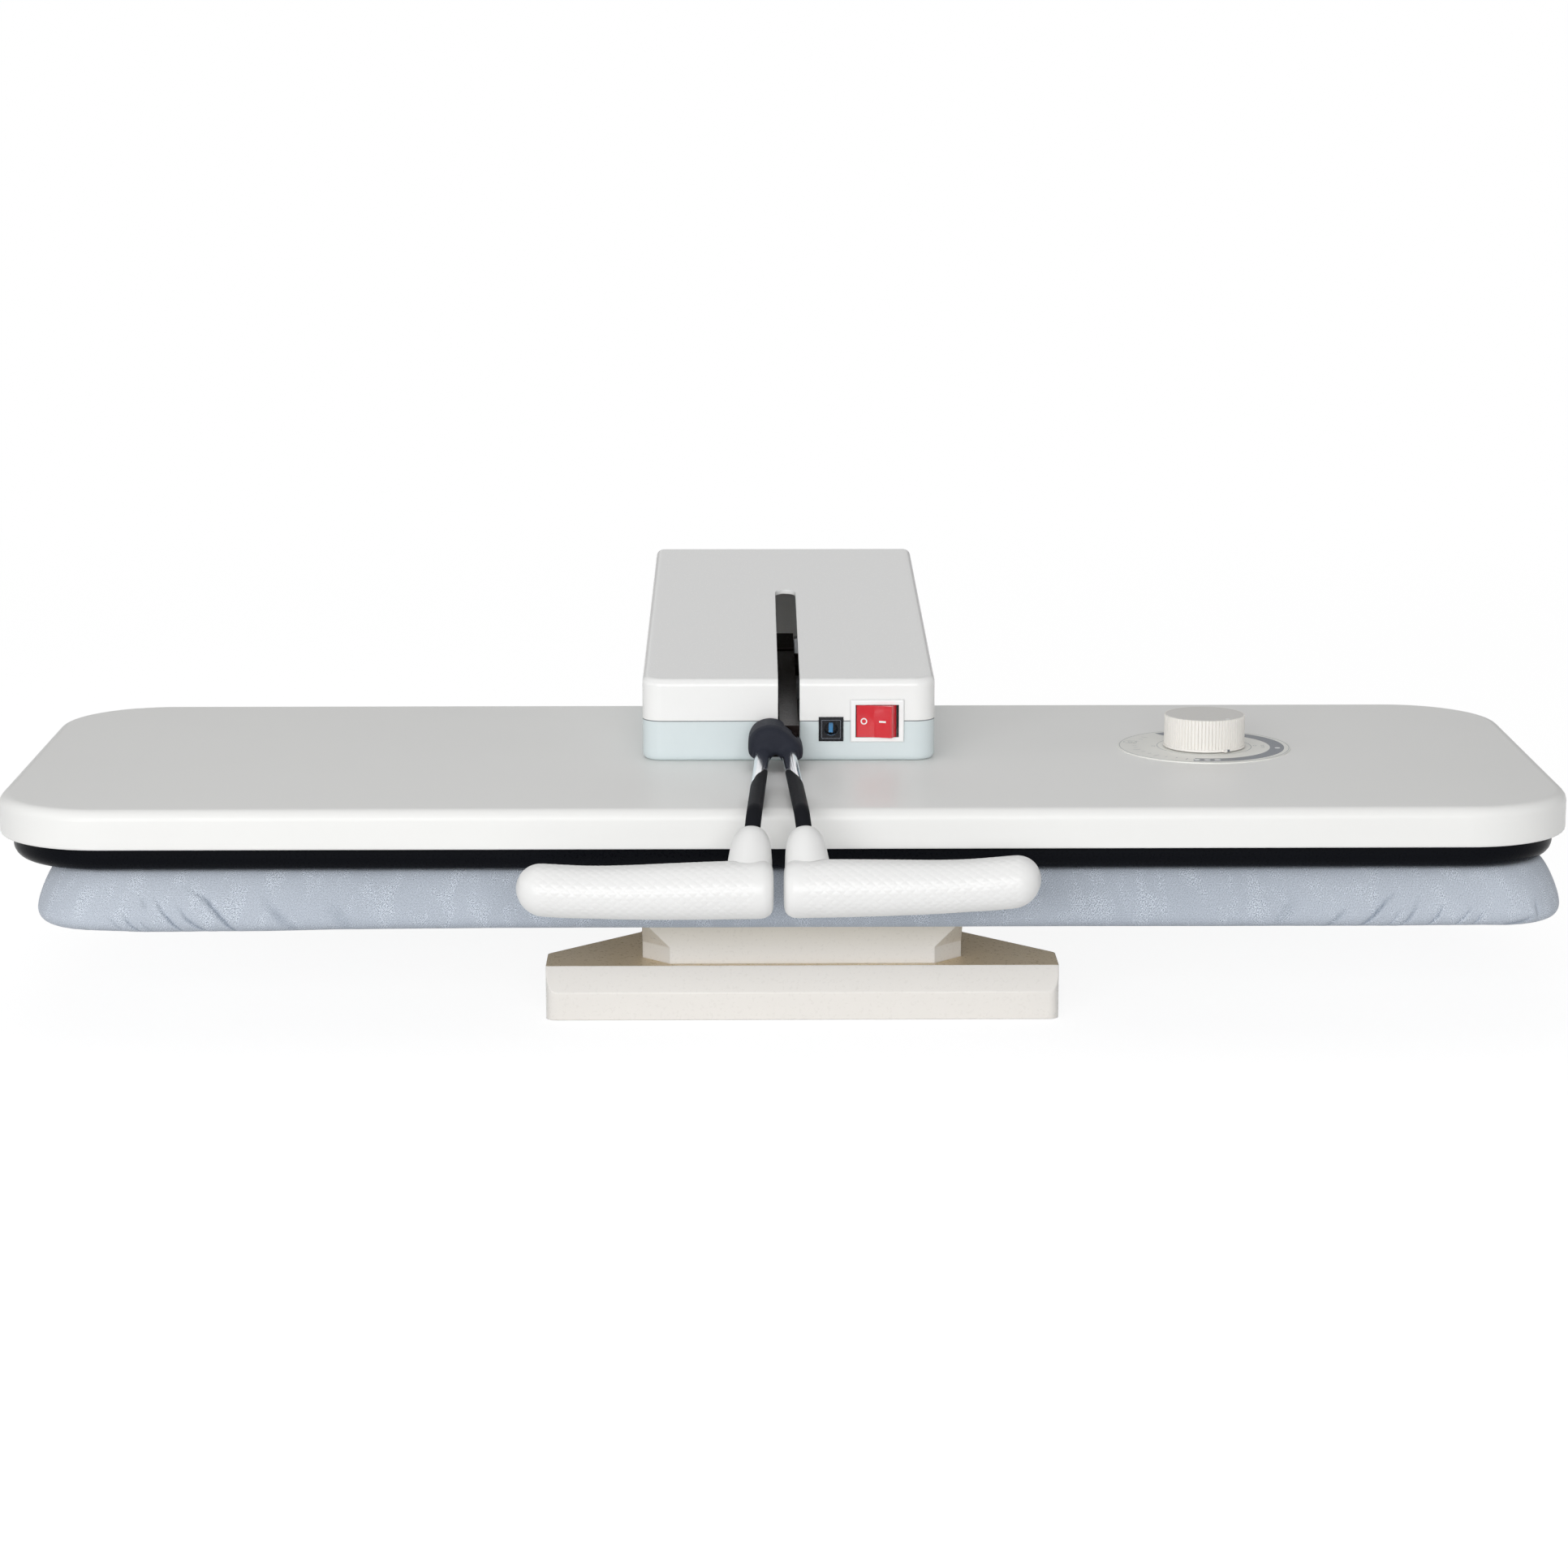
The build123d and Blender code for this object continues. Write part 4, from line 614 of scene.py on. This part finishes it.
def makeBoardCloth(look):
    columns = outlineColumns(look)
    inset, height = clothRows(look)
    across, rise = np.gradient(inset), np.gradient(height)
    size = np.hypot(across, rise)
    outShare, upShare = rise / size, across / size
    along = np.concatenate([[0], np.cumsum(np.hypot(np.diff(inset), np.diff(height)))])
    around, closing, _, _ = pathRound(look, columns, 0.0)
    sagAt, sagBy = zip(*look["sag"])
    arc = np.abs(columns[:, 2] * columns[:, 3])
    gatherNear, gatherFull = look["gatherFrom"]
    cornerGather, evenGather = look["gatherDepth"]
    gathers = np.sin(around / look["gatherLength"] + 0.8 * np.sin(around / 13))
    gathers *= arc * cornerGather + evenGather
    rows, creaseShade = [], []
    for k in range(len(inset)):
        low = fallShare(height[k], look["narrowing"])
        fromMiddle, front = pathRound(look, columns, low)[2:]
        sag = np.where(front, np.interp(fromMiddle, sagAt, sagBy), look["rearSag"])
        x, y = outlineRing(look, columns, inset[k], low)
        z = np.full_like(x, height[k])
        # Full on the steep side, none where the cloth lies flat
        sideShare = min(1.0, max(0.0, outShare[k] * 1.4)) * float(height[k] < look["topLevel"] - 0.6)
        folds, dark = foldDepth(look, fromMiddle, z)
        waves = sum(depth * np.sin(around / length + start + turn * height[k])
                    for depth, length, start, turn in look["waves"])
        pull = np.clip((inset[k] - gatherNear) / (gatherFull - gatherNear), 0, 1)
        bump = (folds + waves) * sideShare + pull * float(height[k] < look["gatherBelow"]) * gathers
        z = z + sag * fallShare(height[k], look["sagFades"]) - 0.35 * bump * upShare[k]
        out = bump * outShare[k]
        rows.append(np.stack([x + out * columns[:, 2], y + out * columns[:, 3], z], 1))
        # Painted shade along the creases, kept per point
        creaseShade.append(dark * sideShare)
    swell, swellLong, swellWide = look["topSwell"]
    for ring in look["topInsets"]:
        x, y = outlineRing(look, columns, ring)
        share = min(1, (ring - 16) / 20)
        level = look["topLevel"] - swell * share * (1 - np.cos(x / swellLong) * np.cos(y / swellWide))
        rows.append(np.stack([x, y, level], 1))
        creaseShade.append(np.zeros_like(x))
    points = toFrame(np.vstack(rows))
    quads = gridFaces(len(rows), len(columns))
    flatFrom = len(inset) - 4
    count = len(columns)
    j, i = quads[:, 0] // count, quads[:, 0] % count
    nextAround = np.where(i == count - 1, closing, around[(i + 1) % count])
    along = np.concatenate([along, along[-1] + np.arange(1, len(look["topInsets"]) + 1)])
    sideUv = np.stack([around[i], along[j], nextAround, along[j],
                       nextAround, along[j + 1], around[i], along[j + 1]], 1).reshape(-1, 4, 2) * mm
    topUv = points[quads][:, :, :2]
    uvs = np.where((j >= flatFrom)[:, None, None], topUv, sideUv)
    cloth = pieceFrom("boardCloth", points, quads.tolist(), uvs)
    layer = cloth.data.attributes.new("creaseShade", "FLOAT", "POINT")
    layer.data.foreach_set("value", np.concatenate(creaseShade).astype(np.float32))
    closeCentre(cloth)
    dress(cloth, "boardWeave", "root")
    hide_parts("board_cover")
    area = sum(face.area for face in cloth.data.polygons)
    print("board cloth", len(cloth.data.polygons), "faces, area", round(area, 4))
    return cloth


def closeCentre(piece):
    # A ring without width or depth is welded shut
    weld = piece.modifiers.new("weld", "WELD")
    weld.merge_threshold = 0.00002
    settle(piece)


boardPad = {
    "middle": boardCloth["middle"],
    "half": boardCloth["half"],
    "corner": boardCloth["corner"],
    "lowCorner": boardCloth["corner"],
    "cornerEase": boardCloth["cornerEase"],
    "fineStep": 6.0,
    "coarseStep": 12.0,
    "endStep": 14.0,
    "fineFrom": 215.0,
    "profile": [(174, 77.2), (120, 77.2), (60, 77.2), (20, 77.2), (11, 77.3), (5.8, 79.0), (3.0, 83),
                (3.4, 88.6), (4.8, 94), (6.6, 99), (8.6, 103.6), (11, 107.6), (14, 110.4), (18, 111.7),
                (40, 111.8), (90, 111.8), (140, 111.8), (174, 111.8)],
    # Depth of the foam's unevenness, and its lengths along and across
    "swell": (0.15, 19.0, 17.0),
}


def makeBoardPad(look):
    columns = outlineColumns(look)
    swell, swellLong, swellWide = look["swell"]
    rows = []
    for inset, height in look["profile"]:
        x, y = outlineRing(look, columns, inset)
        rows.append(np.stack([x, y, height + swell * np.sin(x / swellLong) * np.sin(y / swellWide)], 1))
    piece = pieceFrom("boardPad", toFrame(np.vstack(rows)), gridFaces(len(rows), len(columns)).tolist())
    closeCentre(piece)
    dress(piece, "padFoam", "root")
    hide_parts("board_pad")


cloth = makeBoardCloth(boardCloth)
makeBoardPad(boardPad)
print("board dressed")


# The two grips with their embossed scales

gripLook = {
    "middle": (-5.0, -74.0, 122.0),
    "gap": 3.1,
    "roll": 0.88,
    # Distance from the inner end, radius and rise of the middle line
    "profile": [(0.0, 0.0, 0.0), (0.0, 5.0, 0.0), (0.05, 9.6, 0.0), (1.0, 13.9, 0.0), (4.0, 16.8, 0.0),
                (8.5, 17.9, 0.0), (20, 17.85, -0.05), (34, 17.8, -0.1), (64, 17.3, -0.3), (92, 16.6, -0.3),
                (112, 16.2, 0.2), (128, 16.3, 1.0), (141.2, 16.2, 2.0), (146.2, 15.4, 2.4),
                (150.7, 13.1, 2.8), (154.3, 9.5, 3.1), (156.6, 5.0, 3.3), (157.4, 1.6, 3.4),
                (157.4, 0.0, 3.4)],
    "rows": 250,
    "columns": 168,
    "scaleLength": 7.0,
    "scaleTurns": 20,
    "groove": 0.24,
    "grooveWidth": 0.36,
    "plainEnds": 9.0,
    "scalesFadeIn": 5.0,
}


def makeGrip(name, node, side, look):
    line = smoothLine(look["profile"], look["rows"])
    along, radius, rise = line[:, 0], np.maximum(line[:, 1], 0), line[:, 2]
    angles = np.linspace(0, 2 * math.pi, look["columns"], endpoint=False)
    u = along[:, None] / look["scaleLength"]
    v = angles[None, :] / (2 * math.pi) * look["scaleTurns"]
    ridge = np.minimum(np.abs(np.sin(math.pi * (u + v))), np.abs(np.sin(math.pi * (u - v))))
    fromEnd = np.minimum(along, along[-1] - along)
    ends = np.clip((fromEnd - look["plainEnds"]) / look["scalesFadeIn"], 0, 1)
    cut = look["groove"] * np.exp(-(ridge / look["grooveWidth"]) ** 2) * ends[:, None]
    size = radius[:, None] - cut
    reach = side * (look["gap"] + along)
    slope = math.tan(math.radians(look["roll"]))
    x = look["middle"][0] + np.broadcast_to(reach[:, None], size.shape)
    y = look["middle"][1] - size * np.cos(angles)[None, :]
    z = look["middle"][2] + rise[:, None] + reach[:, None] * slope + size * side * np.sin(angles)[None, :]
    points = toFrame(np.stack([x, y, z], -1).reshape(-1, 3))
    faces = gridFaces(len(along), look["columns"])[:, ::-1]
    grip = pieceFrom(name, points, faces.tolist())
    closeCentre(grip)
    dress(grip, "gripWhite", "handle")
    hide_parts(node)


makeGrip("gripLeft", "grip_left", -1, gripLook)
makeGrip("gripRight", "grip_right", 1, gripLook)
print("grips embossed")


# The rubber boot over the lever's end and the two rods

bootLook = {
    "middle": -5.0,
    "low": 161.5,
    "heightShare": 0.91,
    "outline": [(-9.5, 0), (-17.2, 5), (-18.1, 12), (-17, 19), (-13, 24.5), (-6, 27.5), (1, 27), (7, 23.5),
                (12, 19), (16.5, 13.5), (18.1, 8), (17, 2.5), (11, 0.8), (5, 1.5), (0, 6), (-5, 1)],
    # Distance behind the cover's front edge, and size against the outline
    "sections": [(119.0, 0.30), (119.2, 0.62), (120.0, 0.80), (122.0, 0.92), (125.5, 0.99), (134, 1.0),
                 (146, 0.99), (153, 0.96), (154.5, 0.86), (154.8, 0.5)],
    "outlineMiddle": (0.0, 12.5),
    # A sleeve round each rod, from its rear to its front end, with radii at shares of its length
    "sleeves": [((-13.35, 133, 168.1), (-13.9, 118.0, 167.45)), ((3.35, 133, 168.1), (3.9, 118.0, 167.45))],
    "sleeveRadii": [(0, 7.4), (0.75, 6.2), (0.93, 6.2), (1.0, 5.4)],
    "sleeveSides": 32,
    "voxel": 0.0007,
    "softenings": 9,
}


def stackRings(rings, start):
    # Faces of a closed body through rings of points, the first of which has the index start
    count = len(rings[0])
    faces = (gridFaces(len(rings), count) + start).tolist()
    last = start + (len(rings) - 1) * count
    return faces + [list(range(start, start + count))[::-1], list(range(last, last + count))]


def makeBoot(look):
    ring = smoothLine(look["outline"], 96, closed=True)
    centre = np.array(look["outlineMiddle"])
    body = []
    for y, share in look["sections"]:
        shape = centre + (ring - centre) * share
        body.append(np.stack([look["middle"] + shape[:, 0], np.full(len(shape), y),
                              look["low"] + shape[:, 1] * look["heightShare"]], 1))
    groups = [body]
    turns = np.linspace(0, 2 * math.pi, look["sleeveSides"], endpoint=False)
    for rear, front in np.array(look["sleeves"], float):
        sleeve = []
        for share, radius in look["sleeveRadii"]:
            middle = rear + (front - rear) * share
            circle = np.stack([np.cos(turns), np.zeros_like(turns), np.sin(turns)], 1)
            sleeve.append(middle + radius * circle)
        groups.append(sleeve)
    points, faces = [], []
    for rings in groups:
        faces += stackRings(rings, sum(len(row) for row in points))
        points += rings
    boot = pieceFrom("leverBoot", toFrame(np.vstack(points)), faces)
    fuse = boot.modifiers.new("fuse", "REMESH")
    fuse.mode = "VOXEL"
    fuse.voxel_size = look["voxel"]
    soften = boot.modifiers.new("soften", "SMOOTH")
    soften.factor = 0.5
    soften.iterations = look["softenings"]
    settle(boot)
    dress(boot, "mattRubber", "handle")
    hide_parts("lever_boot")


makeBoot(bootLook)
print("boot shaped")


# Printed marks on the dial plate, the knob, the rocker and the socket, and a painted highlight on the knob's
# cap

def flatRing(centre, level, inner, outer, start=0.0, stop=360.0, thickness=0.05):
    # A thin flat ring or part of one, angles in degrees from the right, counted towards the rear
    count = max(8, int(abs(stop - start) / 3))
    angles = np.radians(np.linspace(start, stop, count + 1))
    points, faces = [], []
    for angle in angles:
        for radius, height in ((inner, 0), (inner, thickness), (outer, thickness), (outer, 0)):
            points.append((centre[0] + radius * math.cos(angle), centre[1] + radius * math.sin(angle),
                           level + height))
    for k in range(count):
        a, b = 4 * k, 4 * (k + 1)
        for corner in range(3):
            faces.append((a + corner, b + corner, b + corner + 1, a + corner + 1))
    return points, faces


def flatDot(centre, level, radius, thickness=0.05):
    count = 20
    angles = np.linspace(0, 2 * math.pi, count, endpoint=False)
    points = [(centre[0] + radius * math.cos(angle), centre[1] + radius * math.sin(angle), level + thickness)
              for angle in angles]
    points += [(x, y, level) for x, y, _ in points]
    faces = [tuple(range(count))]
    faces += [(i, i + count, (i + 1) % count + count, (i + 1) % count) for i in range(count)]
    return points, faces


def joinParts(name, parts, move=None):
    points, faces = [], []
    for partPoints, partFaces in parts:
        faces += [tuple(index + len(points) for index in face) for face in partFaces]
        points += partPoints
    points = toFrame(points) if move is None else toFrame([move(point) for point in points])
    piece = pieceFrom(name, points, faces)
    piece.data.polygons.foreach_set("use_smooth", [False] * len(piece.data.polygons))
    return piece


dialLook = {
    "centre": (286.5, 203.0),
    "level": 156.8,
    "band": (44.5, 54.0, -104.0, 122.0),
    "outerRing": (57.0, 57.5),
    "innerRing": (31.6, 32.1),
    "white": 0.05,
    # Dots and rings as angle, distance from the middle and radius, or outer and inner radius
    "dots": [(-9.0, 49.5, 1.9), (51.0, 49.5, 1.6), (-102.0, 49.3, 2.4), (-94.0, 49.3, 2.4),
             (-86.0, 49.3, 2.4)],
    "bandRings": [(-102.0, 49.3, 2.4, 1.95), (-94.0, 49.3, 2.4, 1.95), (-86.0, 49.3, 2.4, 1.95)],
    "rings": [(163.0, 51.0, 4.6, 4.25), (163.0, 51.0, 1.6, 1.2), (1.0, 34.6, 1.35, 1.0),
              (180.0, 34.6, 1.35, 1.0), (2.0, 39.8, 1.05, 0.7), (-3.5, 39.8, 1.05, 0.7),
              (-9.0, 39.8, 1.05, 0.7)],
    "ticks": (140.0, 250.0, 12),
    "tickReach": (46.0, 48.6, 51.0),
    "tickHalf": 0.35,
}


def dialPlace(angle, radius):
    return (dialLook["centre"][0] + radius * math.cos(math.radians(angle)),
            dialLook["centre"][1] + radius * math.sin(math.radians(angle)))


def makeDialPrint(look):
    centre, level = look["centre"], look["level"]
    inner, outer, start, stop = look["band"]
    band = joinParts("dialBand", [flatRing(centre, level, inner, outer, start, stop)])
    dress(band, "printSlate", "head")
    above = level + look["white"]
    dots = [flatDot(dialPlace(angle, away), above, radius) for angle, away, radius in look["dots"]]
    dress(joinParts("dialDots", dots), "whitePrintAndHighlight", "head")
    grey = [flatRing(centre, level, *look[ring], thickness=0.04) for ring in ("outerRing", "innerRing")]
    for rings, height in ((look["bandRings"], above + look["white"]), (look["rings"], level)):
        for angle, away, large, small in rings:
            grey.append(flatRing(dialPlace(angle, away), height, small, large))
    first, last, count = look["ticks"]
    near, shortFar, longFar = look["tickReach"]
    half = look["tickHalf"]
    for k in range(count + 1):
        angle = first + (last - first) * k / count
        grey.append(flatRing(centre, level, near, shortFar if k % 3 else longFar, angle - half, angle + half))
    dress(joinParts("dialRings", grey), "printGrey", "head")


makeDialPrint(dialLook)

knobMarksAndHighlight = {"capTop": 179.1, "dotAngle": -57.0, "dotRadius": 24.0, "dotSize": 1.5, "pointerAngle": -63.0,
             "pointerRadius": (27.75, 28.0), "pointerHalf": 4.5, "pointerLow": 157.55, "pointerHigh": 158.9}


def makeKnobPointerAndHighlight(look):
    # Painted highlight: a white dot on the cap's rim
    dot = flatDot(dialPlace(look["dotAngle"], look["dotRadius"]), look["capTop"], look["dotSize"], 0.06)
    dress(joinParts("knobRimHighlight", [dot]), "whitePrintAndHighlight", "knob")
    inner, outer = look["pointerRadius"]
    middle, half = look["pointerAngle"], look["pointerHalf"]
    mark = flatRing(dialLook["centre"], look["pointerLow"], inner, outer, middle - half, middle + half,
                    look["pointerHigh"] - look["pointerLow"])
    dress(joinParts("knobPointer", [mark]), "printSlate", "knob")


makeKnobPointerAndHighlight(knobMarksAndHighlight)

rockerLook = {"pivot": (62.8, 163.0, 183.4), "turn": 12.0, "ring": (-6.9, 2.2, 1.4), "bar": (5.6, 4.6, 1.2),
              "fall": 0.8 / 11.8, "ridge": -9.7, "faceDepth": 0.045}


def rockerFace(point):
    # From (across, up, out) on the rocker's two front faces to millimetres of the press
    across, up, out = point
    fall = rockerLook["fall"]
    localX = across + out * math.copysign(fall, across)
    localY = rockerLook["ridge"] - abs(across) * fall - out
    turn = math.radians(-rockerLook["turn"])
    x = localX * math.cos(turn) - localY * math.sin(turn)
    y = localX * math.sin(turn) + localY * math.cos(turn)
    return (rockerLook["pivot"][0] + x, rockerLook["pivot"][1] + y, rockerLook["pivot"][2] + up)


def makeRockerMarks(look):
    across, outer, inner = look["ring"]
    ring = flatRing((across, 0.0), 0.0, inner, outer, thickness=look["faceDepth"])
    barAt, barLength, barHeight = look["bar"]
    x0, x1 = barAt - barLength / 2, barAt + barLength / 2
    z0, z1 = -barHeight / 2, barHeight / 2
    out = look["faceDepth"]
    barPoints = [(x, z, depth) for depth in (out, 0) for x, z in ((x0, z0), (x1, z0), (x1, z1), (x0, z1))]
    barFaces = [(0, 1, 2, 3), (4, 5, 1, 0), (5, 6, 2, 1), (6, 7, 3, 2), (7, 4, 0, 3)]
    marks = joinParts("rockerMarks", [ring, (barPoints, barFaces)], move=rockerFace)
    dress(marks, "whitePrintAndHighlight", "rocker")


makeRockerMarks(rockerLook)

socketLine = {"middle": (32.1, 177.8), "half": 6.3, "width": 0.28, "front": 155.55}


def makeSocketLine(look):
    # A fine moulded line inside the socket's rim
    x, z = look["middle"]
    outer, inner = look["half"], look["half"] - look["width"]
    points, faces = [], []
    for half in (outer, inner):
        for sx, sz in ((-1, -1), (1, -1), (1, 1), (-1, 1)):
            points.append((x + sx * half, look["front"], z + sz * half))
    for k in range(4):
        faces.append((k, (k + 1) % 4, 4 + (k + 1) % 4, 4 + k))
    dress(joinParts("socketLine", [(points, faces)]), "printSlate", "head")


makeSocketLine(socketLine)
print("marks printed")


# Camera, lights and floor

cameraLook = {
    "place": (-0.0281, -2.62965, 0.6683),
    "pitchDown": 11.544,
    "yawRight": 0.641,
    "lens": 90.70,
    "sensor": 36.0,
}


def makeCamera(look):
    data = bpy.data.cameras.new("camera")
    data.lens = look["lens"]
    data.sensor_width = look["sensor"]
    camera = newObject("camera", data)
    camera.location = look["place"]
    camera.rotation_euler = (math.radians(90 - look["pitchDown"]), 0, math.radians(-look["yawRight"]))
    bpy.context.scene.camera = camera


lampList = {
    "frontSoftbox": {"place": (-0.6, -3.7, 1.05), "aim": (0, 0, 0.12), "size": (3.6, 1.5), "power": 92},
    "topSoftbox": {"place": (-0.35, 0.2, 2.8), "aim": (0, 0, 0.1), "size": (2.6, 2.0), "power": 11},
    "leftSoftbox": {"place": (-2.8, -0.9, 1.1), "aim": (0, 0, 0.12), "size": (1.4, 1.4), "power": 8},
    "rightSoftbox": {"place": (2.8, -0.9, 1.1), "aim": (0, 0, 0.12), "size": (1.4, 1.4), "power": 5},
    "rearSoftbox": {"place": (0.0, 3.4, 1.7), "aim": (0, 0, 0.15), "size": (2.6, 1.4), "power": 8},
}


def makeLamps(lamps):
    for name, lamp in lamps.items():
        data = bpy.data.lights.new(name, "AREA")
        data.shape = "RECTANGLE"
        data.size, data.size_y = lamp["size"]
        data.energy = lamp["power"]
        light = newObject(name, data)
        light.location = lamp["place"]
        away = Vector(lamp["place"]) - Vector(lamp["aim"])
        light.rotation_euler = away.to_track_quat("Z", "Y").to_euler()


# Reflections see a room whose rear is darker; straight looks see plain white
roomLook = {"fill": 0.30, "seen": 1.0, "rearDark": 0.34, "rearFrom": 0.55, "rearTo": 0.93,
            "rearWay": (0, 0.98, 0.2)}


def makeWorld(look):
    world = bpy.data.worlds.new("studio")
    bpy.context.scene.world = world
    world.use_nodes = True
    tree = world.node_tree
    tree.nodes.clear()
    path = addNode(tree, "ShaderNodeLightPath")
    towards = addNode(tree, "ShaderNodeTexCoord").outputs["Generated"]
    rear = addNode(tree, "ShaderNodeVectorMath", {0: towards, 1: look["rearWay"]},
                   operation="DOT_PRODUCT").outputs["Value"]
    dim = ramp(tree, rear, look["rearFrom"], look["rearTo"], 1.0, look["rearDark"])
    fill = addNode(tree, "ShaderNodeBackground", {"Color": (1, 1, 1, 1), "Strength": look["fill"]})
    room = addNode(tree, "ShaderNodeBackground", {"Color": (1, 1, 1, 1), "Strength": dim})
    white = addNode(tree, "ShaderNodeBackground", {"Color": (1, 1, 1, 1), "Strength": look["seen"]})
    lit = addNode(tree, "ShaderNodeMixShader", {"Fac": path.outputs["Is Glossy Ray"], 1: fill.outputs[0],
                                                2: room.outputs[0]})
    straight = calc(tree, "MAXIMUM", path.outputs["Is Camera Ray"], path.outputs["Is Transmission Ray"])
    mixed = addNode(tree, "ShaderNodeMixShader", {"Fac": straight, 1: lit.outputs[0], 2: white.outputs[0]})
    addNode(tree, "ShaderNodeOutputWorld", {"Surface": mixed.outputs[0]})


# Pale plain floor near the press, turning into the white of the background between near and far
floorLook = {"size": 30.0, "albedo": 0.82, "seenAlbedo": 0.26, "seenGlow": 0.86, "near": 1.2, "far": 2.4}


def makeFloor(look):
    half = look["size"] / 2
    floor = pieceFrom("floor", [(-half, -half, 0), (half, -half, 0), (half, half, 0), (-half, half, 0)],
                      [(0, 1, 2, 3)])
    material, tree = newMaterial("floorWhite")[:2]
    tree.nodes.clear()
    path = addNode(tree, "ShaderNodeLightPath")
    seen = calc(tree, "MAXIMUM", path.outputs["Is Camera Ray"], path.outputs["Is Glossy Ray"])
    seen = calc(tree, "MAXIMUM", seen, path.outputs["Is Transmission Ray"])
    plain = addNode(tree, "ShaderNodeBsdfDiffuse", {"Color": (*[look["albedo"]] * 3, 1)})
    shown = addNode(tree, "ShaderNodeBsdfDiffuse", {"Color": (*[look["seenAlbedo"]] * 3, 1)})
    glow = addNode(tree, "ShaderNodeEmission", {"Color": (1, 1, 1, 1), "Strength": look["seenGlow"]})
    white = addNode(tree, "ShaderNodeEmission", {"Color": (1, 1, 1, 1), "Strength": 1.0})
    near = addNode(tree, "ShaderNodeAddShader", {0: shown.outputs[0], 1: glow.outputs[0]})
    place = addNode(tree, "ShaderNodeTexCoord").outputs["Object"]
    radius = addNode(tree, "ShaderNodeVectorMath", {0: place}, operation="LENGTH").outputs["Value"]
    away = ramp(tree, radius, look["near"], look["far"])
    pale = addNode(tree, "ShaderNodeMixShader", {"Fac": away, 1: near.outputs[0], 2: white.outputs[0]})
    mixed = addNode(tree, "ShaderNodeMixShader", {"Fac": seen, 1: plain.outputs[0], 2: pale.outputs[0]})
    addNode(tree, "ShaderNodeOutputMaterial", {"Surface": mixed.outputs[0]})
    floor.data.materials.append(material)


makeCamera(cameraLook)
makeLamps(lampList)
makeWorld(roomLook)
makeFloor(floorLook)
bpy.context.scene.view_settings.view_transform = "Standard"
print("studio ready")
